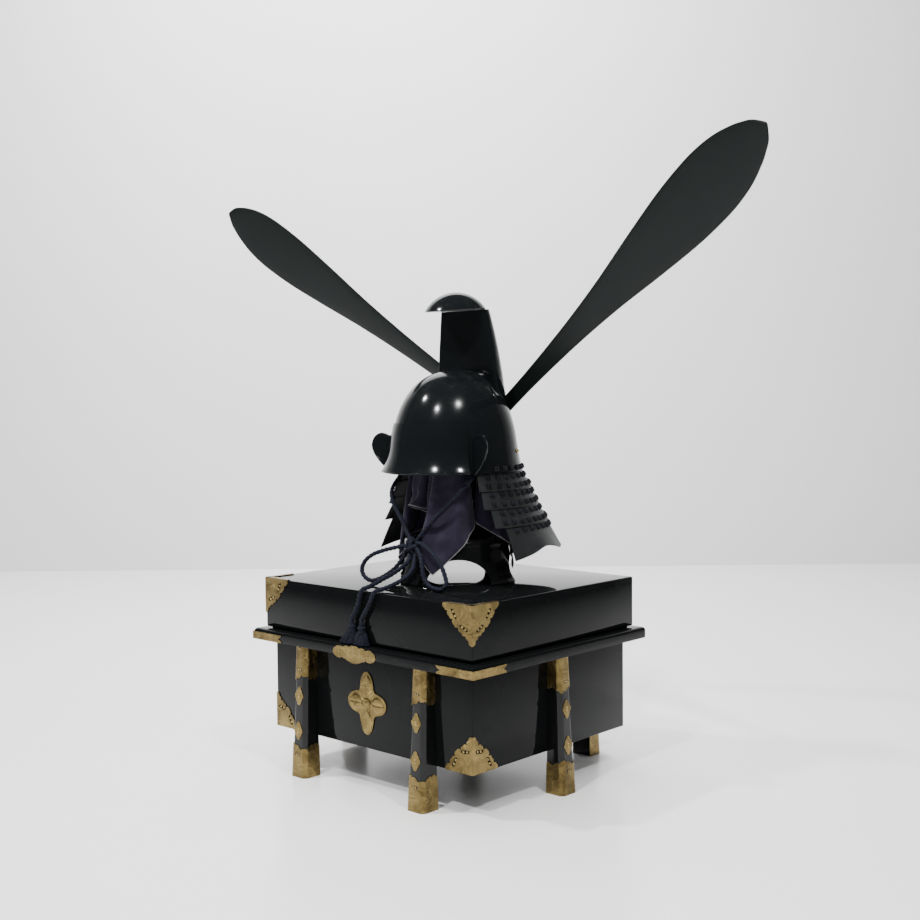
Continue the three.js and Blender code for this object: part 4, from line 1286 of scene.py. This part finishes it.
leg = {
    "top": ledgeLow.z - seam, "topWide": 0.031, "topDeep": 0.027, "footWide": 0.043, "footDeep": 0.039,
    "edge": 0.007, "soft": 0.0022, "capHigh": 0.067, "shoeHigh": 0.067, "skin": 0.0012,
    "fringe": 0.013, "slot": 0.0075,
}
diamond = {"heights": (0.162, 0.093), "wide": 0.0245, "high": 0.037, "thick": 0.0012}
legPlaces = {
    "front_left": (-0.163, -1, 0), "front_right": (0.163, -1, 0), "right": (1, 0, 90),
    "back_right": (0.163, 1, 180), "back_left": (-0.163, 1, 180), "left": (-1, 0, 270),
}


def legPath(z, grow, count=None):
    t = z / ledgeLow.z
    x = lerp(leg["footWide"], leg["topWide"], t) / 2 + grow
    y = -lerp(leg["footDeep"], leg["topDeep"], t) - grow
    e = leg["edge"]
    corners = [(-x, 0), (-x, y + e), (-x + e, y), (x - e, y), (x, y + e), (x, 0)]
    path = [Vector(corners[0])]
    for a, b, c in zip(corners, corners[1:], corners[2:]):
        a, b, c = Vector(a), Vector(b), Vector(c)
        start, end = b + (a - b).normalized() * leg["soft"], b + (c - b).normalized() * leg["soft"]
        path += [start.lerp(b, k / 4).lerp(b.lerp(end, k / 4), k / 4) for k in range(5)]
    path.append(Vector(corners[-1]))
    if count is None:
        return path
    lengths = [0.0]
    for a, b in zip(path, path[1:]):
        lengths.append(lengths[-1] + (b - a).length)
    out, i = [], 0
    for k in range(count + 1):
        want = lengths[-1] * k / count
        while i < len(path) - 2 and lengths[i + 1] < want:
            i += 1
        share = (want - lengths[i]) / max(lengths[i + 1] - lengths[i], 1e-9)
        out.append(path[i].lerp(path[i + 1], share))
    return out


def scallopRow(s):  # lobes round the sleeve's free edge, 0 at a notch and 1 at a tip
    fine = abs(sin(7 * pi * s)) ** 0.6
    broad = 0.5 + 0.5 * cos(4 * pi * (s - 0.375))
    return 0.35 * fine + 0.65 * broad


def legSleeve(name, z0, z1, fromTop, placeAt, solid):
    columns, rows = 110, 12
    skins = []
    for grow in (leg["skin"] + seam, seam):
        lowPath, highPath = legPath(z0, grow, columns), legPath(z1, grow, columns)
        skin = []
        for r in range(rows + 1):
            row = []
            for c in range(columns + 1):
                notch = leg["fringe"] * (1 - scallopRow(c / columns))
                low, high = (z0, z1 - notch) if fromTop else (z0 + notch, z1)
                z = lerp(low, high, r / rows)
                spot = lowPath[c].lerp(highPath[c], (z - z0) / (z1 - z0))
                row.append(placeAt @ Vector((*spot, z)))
            skin.append(row)
        skins.append(skin)
    verts, faces = shellMesh(skins[0], skins[1], False)
    addPiece(name, verts, faces, "brass", [solid], 40)


def slotShape(size):  # a pierced slot, waisted in the middle
    return [
        (size * cos(a) * (0.72 + 0.28 * abs(cos(a))), size * 0.46 * sin(a) * (0.55 + 0.6 * abs(cos(a))))
        for a in (2 * pi * k / 28 for k in range(28))
    ]


def addPins(name, size, places, radius=0.0014):  # two domed heads for each (matrix, x, y, degrees)
    verts, faces = [], []
    for where, x, y, degrees in places:
        turn = math.radians(degrees)
        for reach in (-0.42, 0.42):
            cx, cy = x + size * reach * cos(turn), y + size * reach * sin(turn)
            rings = []
            for k in range(4):
                r, h = radius * cos(pi / 2 * k / 4), radius * 0.8 * sin(pi / 2 * k / 4)
                rings.append([where @ p for p in ringAt(cx, cy, h, r, 12)])
            addTo(verts, faces, loftMesh(rings))
    addPiece(name, verts, faces, "pinBrass", (), 80)


def scallopLine(cusps, bulge, steps=6):  # outward arcs between cusps, the outline's right side outward
    line = []
    for (x0, y0), (x1, y1) in zip(cusps, cusps[1:]):
        nx, ny = (y1 - y0), -(x1 - x0)
        for k in range(steps):
            t = k / steps
            push = 4 * t * (1 - t) * bulge
            line.append((lerp(x0, x1, t) + nx * push, lerp(y0, y1, t) + ny * push))
    line.append(cusps[-1])
    return line


def makeLegs():
    half = (bodyHigh.x - bodyLow.x) / 2 + seam, (bodyHigh.y - bodyLow.y) / 2 + seam
    faceTilt = (leg["footDeep"] - leg["topDeep"]) / ledgeLow.z
    top, w, h = leg["top"], diamond["wide"] / 2, diamond["high"] / 2
    cusps = [
        (0, -h), (0.45 * w, -0.62 * h), (0.72 * w, -0.3 * h), (w, 0),
        (0.72 * w, 0.3 * h), (0.45 * w, 0.62 * h), (0, h),
    ]
    right = scallopLine(cusps, 0.18)
    lozenge = right + [(-px, py) for px, py in reversed(right)][1:-1]
    for name, (x, y, turn) in legPlaces.items():
        spot = (chestX + (x * half[0] if abs(x) == 1 else x), y * half[1], 0)
        placeAt = Matrix.Translation(spot) @ Matrix.Rotation(math.radians(turn), 4, "Z")
        label = titled(name)

        def onFace(z, out):
            face = -lerp(leg["footDeep"], leg["topDeep"], z / ledgeLow.z) - out
            return placeAt @ facing((0, face, z), (1, 0, 0), (0, faceTilt, 1))

        rings = [[placeAt @ Vector((*p, z)) for p in legPath(z, 0)] for z in (0, top)]
        verts, faces = loftMesh(rings)
        addPiece("leg" + label, verts, faces, "legLacquer", ["leg_" + name], 30)
        legSleeve("legCap" + label, top - leg["capHigh"], top, False, placeAt, "leg_cap_" + name)
        legSleeve("legShoe" + label, 0, leg["shoeHigh"], True, placeAt, "leg_shoe_" + name)
        pins, plates, slotShades = [], [], []
        for z in diamond["heights"]:
            where = onFace(z, seam + diamond["thick"] / 2)
            plates.append(flatPlate("diamond", lozenge, [], diamond["thick"], 0.0004, where, "brass"))
            pins.append((where @ Matrix.Translation((0, 0, diamond["thick"] / 2)), 0, 0, 90))
        joinPieces("legDiamonds" + label, plates)
        # pierced slots drawn as thin near-black sheets on the brass, not holes: painted shade
        for z in (top - 0.68 * leg["capHigh"], 0.68 * leg["shoeHigh"]):
            where = onFace(z, 0.0016)
            slotShades.append(flatPlate("slot", slotShape(leg["slot"]), [], 0.0003, 0.0001, where, "slotPaintedShade"))
            pins.append((where @ Matrix.Translation((0, 0, 0.0001)), 0, 0, 0))
        joinPieces("legSlotShades" + label, slotShades)
        addPins("legPins" + label, 0.0068, pins, 0.0018)


makeLegs()
print("chest and legs made")


# Brass of the chest's front corners, its ledge and its front

corner = {
    "lidReach": 0.070, "lidDrop": 0.072, "bodyReach": 0.066, "bodyRise": 0.069, "thick": 0.0012, "flange": 0.010,
    "slot": 0.0105, "pin": 0.0024, "bulge": 0.26, "edge": 0.0003, "band": 0.090,
    "lidCusps": [  # shares of the reach and the drop, from the top edge round to the corner's edge
        (1, 0), (0.95, 0.14), (0.83, 0.17), (0.79, 0.32), (0.66, 0.37), (0.62, 0.52), (0.47, 0.57), (0.37, 0.7),
        (0.22, 0.76), (0.12, 0.86), (0, 1),
    ],
    "bodyCusps": [
        (1, 0), (0.97, 0.12), (0.82, 0.17), (0.78, 0.33), (0.64, 0.4), (0.6, 0.56), (0.42, 0.6), (0.36, 0.72),
        (0.2, 0.76), (0.15, 0.9), (0, 1),
    ],
    "lidSlots": [(0.62, 0.25, 58), (0.29, 0.58, 25)],  # shares of reach and drop, and degrees
    "bodySlots": [(0.66, 0.25, -58), (0.27, 0.58, -8)],
}


def cornerFace(kind, reach, drop, upSign, where):
    cusps = [(u * reach, upSign * v * drop) for u, v in corner[kind + "Cusps"]]
    outline = [(0, 0)] + scallopLine(cusps, corner["bulge"] * upSign)
    holes, pins = [], []
    for u, v, degrees in corner[kind + "Slots"]:
        turn, x, y = math.radians(degrees), u * reach, upSign * v * drop
        holes.append([
            (x + px * cos(turn) - py * sin(turn), y + px * sin(turn) + py * cos(turn))
            for px, py in slotShape(corner["slot"])
        ])
        pins.append((where @ Matrix.Translation((0, 0, -corner["thick"] / 2)), x, y, degrees))
    plate = flatPlate(kind + "Corner", outline, holes, corner["thick"], corner["edge"], where, "brass")
    return plate, pins


def makeCorners():
    out = seam + corner["thick"] / 2
    for label, side in (("Right", 1), ("Left", -1)):
        lidX = lidHigh.x if side > 0 else lidLow.x
        bodyX = bodyHigh.x if side > 0 else bodyLow.x
        ledgeX = ledgeHigh.x if side > 0 else ledgeLow.x
        pins = []

        def faceSpace(x, y, z, onFront):
            rightward = (-side, 0, 0) if onFront else (0, 1, 0)
            where = facing((x + side * out, y - out, z), rightward, (0, 0, 1))
            if (side > 0) == onFront:  # the outward side of the plate's space
                where = where @ Matrix.Scale(-1, 4, (0, 0, 1))
            return where

        def bothFaces(kind, x, y, z, reach, drop, upSign):
            plates = []
            for onFront in (True, False):
                plate, more = cornerFace(kind, reach, drop, upSign, faceSpace(x, y, z, onFront))
                plates.append(plate)
                pins.extend(more)
            return plates

        reach, lip = corner["lidReach"], corner["flange"]
        middle = Vector((lidX + side * out, lidLow.y - out, lidHigh.z + out))
        lidPlates = bothFaces("lid", lidX, lidLow.y, middle.z, reach, corner["lidDrop"], -1)
        cusps = [(0, lip)] + [(reach * k / 6, lip * (1.0 if k < 6 else 0.75)) for k in range(1, 7)]
        strip = [(0, 0)] + scallopLine(cusps, -0.14) + [(reach, 0)]
        for rightward, across in (((-side, 0, 0), (0, 1, 0)), ((0, 1, 0), (-side, 0, 0))):
            turned = Matrix((rightward, across, (0, 0, 1))).transposed().to_4x4()
            where = Matrix.Translation(middle) @ turned
            lidPlates.append(flatPlate("flange", strip, [], corner["thick"], corner["edge"], where, "brass"))
        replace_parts(joinPieces("lidCornerFront" + label, lidPlates), "lid_corner_front_" + label.lower())
        bodyPlates = bothFaces(
            "body", bodyX, bodyLow.y, bodyLow.z, corner["bodyReach"], corner["bodyRise"], 1
        )
        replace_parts(joinPieces("bodyCornerFront" + label, bodyPlates), "body_corner_front_" + label.lower())
        addPins("cornerPinsFront" + label, corner["slot"], pins, corner["pin"])

        band = "ledge_band_front_" + label.lower()
        bandLow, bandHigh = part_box(band)
        high, long = bandHigh[2] - bandLow[2], corner["band"]
        shape = [
            (0, 0), (long, 0), (long - 0.003, 0.3 * high), (long - 0.010, 0.5 * high),
            (long - 0.003, 0.7 * high), (long, high), (0, high),
        ]
        hole = [(0.8 * long + px * 0.6, high / 2 + py) for px, py in slotShape(0.0042)]
        strips, dots = [], []
        for onFront in (True, False):
            where = faceSpace(ledgeX, ledgeLow.y, bandLow[2], onFront)
            strips.append(flatPlate("band", shape, [hole], corner["thick"], corner["edge"], where, "brass"))
            dots.append((where @ Matrix.Translation((0, 0, -0.0006)), 0.8 * long, high / 2, 0))
        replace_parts(joinPieces("ledgeBandFront" + label, strips), band)
        addPins("bandPinsFront" + label, 0.002, dots)


makeCorners()

keyPlate = {
    "wide": 0.118, "high": 0.033, "thick": 0.0012, "edge": 0.0003, "hole": 0.002,
    "cusps": [  # shares of the half width and the height
        (0, 0), (0.2, 0.07), (0.38, 0.18), (0.55, 0.28), (0.85, 0.24), (1, 0.5), (0.88, 0.8), (0.55, 0.84),
        (0.22, 0.9), (0, 1),
    ],
}
ornament = {
    "wide": 0.106, "high": 0.122, "z": 0.167, "thick": 0.002, "edge": 0.0005, "petalHalf": 0.0155,
    "boss": [  # (radius, height) rows
        (0.0105, 0.0006), (0.0105, 0.0022), (0.009, 0.003), (0.006, 0.0026), (0.004, 0.0034), (0.0001, 0.0038),
    ],
}


def makeKeyPlate():
    w, h, thick = keyPlate["wide"] / 2, keyPlate["high"], keyPlate["thick"]
    right = scallopLine([(u * w, v * h) for u, v in keyPlate["cusps"]], 0.14)
    outline = right + [(-x, y) for x, y in reversed(right)][1:-1]
    where = facing((chestX, ledgeLow.y - seam - thick / 2, ledgeTop - h), (1, 0, 0), (0, 0, 1))
    holes = [circleLoop(sx * 0.72 * w, 0.55 * h, keyPlate["hole"]) for sx in (1, -1)]
    flatPlate("keyPlate", outline, holes, thick, keyPlate["edge"], where, "brass", ["key_plate"])
    addPins("keyPlatePins", 0.0, [(where, sx * 0.72 * w, 0.55 * h, 0) for sx in (-1, 1)])


def petalRing(t, angle, reach, where):  # one row of points across a petal, with a groove down its middle
    out = lerp(0.24, 0.9, t) * reach
    half = ornament["petalHalf"] * max(sin(pi * (0.06 + 0.9 * t)), 0.02) ** 0.7
    ring = []
    for j in range(17):
        v = -1 + j / 8
        z = 0.0016 * max(0, 1 - v * v) ** 0.5 * (1 - 0.55 * math.exp(-((v / 0.16) ** 2)))
        ring.append((half * v, 0.0009 + z))
    ring += [(half * v, 0.0006) for v in (0.9, -0.9)]
    return [
        where @ Vector((out * cos(angle) - y * sin(angle), out * sin(angle) + y * cos(angle), z)) for y, z in ring
    ]


def makeFlower():
    w, h, thick = ornament["wide"] / 2, ornament["high"] / 2, ornament["thick"]
    outline = []
    for k in range(192):
        angle = 2 * pi * k / 192
        r = 0.78 + 0.22 * cos(4 * angle)
        outline.append((w * r * cos(angle), h * r * sin(angle)))
    where = facing((chestX, bodyLow.y - seam - thick / 2, ornament["z"]), (1, 0, 0), (0, 0, 1))
    flatPlate("frontFlower", outline, [], thick, ornament["edge"], where, "brass", ["front_ornament"])
    verts, faces = [], []
    for k in range(4):
        rings = [petalRing(i / 14, pi / 2 * k, h if k % 2 else w, where) for i in range(15)]
        addTo(verts, faces, loftMesh(rings))
    rings = [[where @ p for p in ringAt(0, 0, z, r, 40)] for r, z in ornament["boss"]]
    addTo(verts, faces, loftMesh(rings))
    addPiece("frontPetals", verts, faces, "brass", (), 40)


makeKeyPlate()
makeFlower()
print("brass made")


# Small brass studs on the bowl above the neck guard

stud = {
    "radius": 0.0042, "angle": 30, "height": 0.040,
    "rows": [(1, 0.0), (1.15, 0.12), (1.1, 0.3), (0.75, 0.62), (0.4, 0.95), (0.02, 1.05)],
}


def makeStuds():
    verts, faces = [], []
    for side in (1, -1):
        angle = math.radians(stud["angle"] if side > 0 else 180 - stud["angle"])
        base = onBowl(angle, stud["height"], 0)
        outward = Vector((cos(angle), sin(angle), 0.2)).normalized()
        sideways = outward.cross(Vector((0, 0, 1))).normalized()
        upward = sideways.cross(outward)
        rings = [
            [base + (sideways * x + upward * y + outward * h) * stud["radius"] for x, y in circleLoop(0, 0, r, 24)]
            for r, h in stud["rows"]
        ]
        addTo(verts, faces, loftMesh(rings))
    addPiece("bowlStuds", verts, faces, "pinBrass", (), 50)


makeStuds()


# Room and light

room = {
    "floor": (0.92, 0.92, 0.915, 1), "wall": (0.74, 0.74, 0.745, 1), "wallAway": 5.6, "size": 8.0, "high": 4.2,
    "air": (0.75, 0.755, 0.75, 1), "dim": 0.16, "seen": 0.82,
}


def addPlane(name, corners, color, roughness, specular):
    mesh = bpy.data.meshes.new(name)
    mesh.from_pydata(corners, [], [(0, 1, 2, 3)])
    material, tree, shader = startMaterial(name, Roughness=roughness)
    shader.inputs["Specular IOR Level"].default_value = specular
    cloud = place(tree, "thread", Scale=3.0, Dye=0.9)
    darker = tuple(c * 0.975 for c in color[:3]) + (1,)
    tree.links.new(mixNode(tree, cloud.outputs["Shade"], darker, color), shader.inputs["Base Color"])
    mesh.materials.append(material)
    linked(name, mesh)


def makeRoom():
    turn = math.radians(view["turn"])
    ahead, right = Vector((-sin(turn), cos(turn), 0)), Vector((cos(turn), sin(turn), 0))
    foot = Vector((view["place"][0], view["place"][1], 0)) + ahead * room["wallAway"]
    near = foot - ahead * (room["wallAway"] + 3)
    side, up = right * room["size"], Vector((0, 0, room["high"]))
    addPlane("floor", [near - side, near + side, foot + side, foot - side], room["floor"], 0.22, 0.35)
    corners = [foot - side, foot + side, foot + side + up, foot - side + up]
    addPlane("backWall", corners, room["wall"], 0.9, 0.1)


lamps = {  # the large ones light the room and aren't mirrored in the lacquer
    "ceilingSoft": {"at": (0.2, -0.3, 3.6), "to": (0, 0, 0), "size": 3.0, "power": 120, "seen": False},
    "cameraSideSoft": {"at": (2.6, -3.0, 2.6), "to": (0, 0, 0.5), "size": 2.0, "power": 45, "seen": False},
    "wallWash": {"at": (-1.5, 0.9, 3.4), "to": (-3.0, 3.1, 1.0), "size": 2.8, "power": 190, "seen": False},
    "spotLeft": {"at": (-1.3, -1.5, 3.1), "to": (0, 0, 0.5), "size": 0.16, "power": 85, "seen": True},
    "spotMiddle": {"at": (0.6, -2.3, 3.1), "to": (0, 0, 0.5), "size": 0.16, "power": 85, "seen": True},
    "spotRight": {"at": (1.9, -0.7, 3.1), "to": (0, 0, 0.5), "size": 0.16, "power": 60, "seen": True},
}


def makeLights():
    for name, lamp in lamps.items():
        data = bpy.data.lights.new(name, "AREA")
        data.shape = "DISK"
        data.size, data.energy = lamp["size"], lamp["power"]
        light = linked(name, data)
        light.location = lamp["at"]
        light.visible_glossy = lamp["seen"]
        aim = Vector(lamp["to"]) - Vector(lamp["at"])
        light.rotation_euler = aim.to_track_quat("-Z", "Y").to_euler()
    world = bpy.data.worlds.new("softRoom")
    world.use_nodes = True
    tree = world.node_tree
    background = tree.nodes["Background"]
    background.inputs["Color"].default_value = room["air"]
    ray = node(tree, "ShaderNodeLightPath").outputs["Is Camera Ray"]
    strength = rampNode(tree, ray, 0.0, 1.0, room["dim"], room["seen"])
    tree.links.new(strength, background.inputs["Strength"])
    bpy.context.scene.world = world


makeRoom()
makeLights()
print("room and lights made")
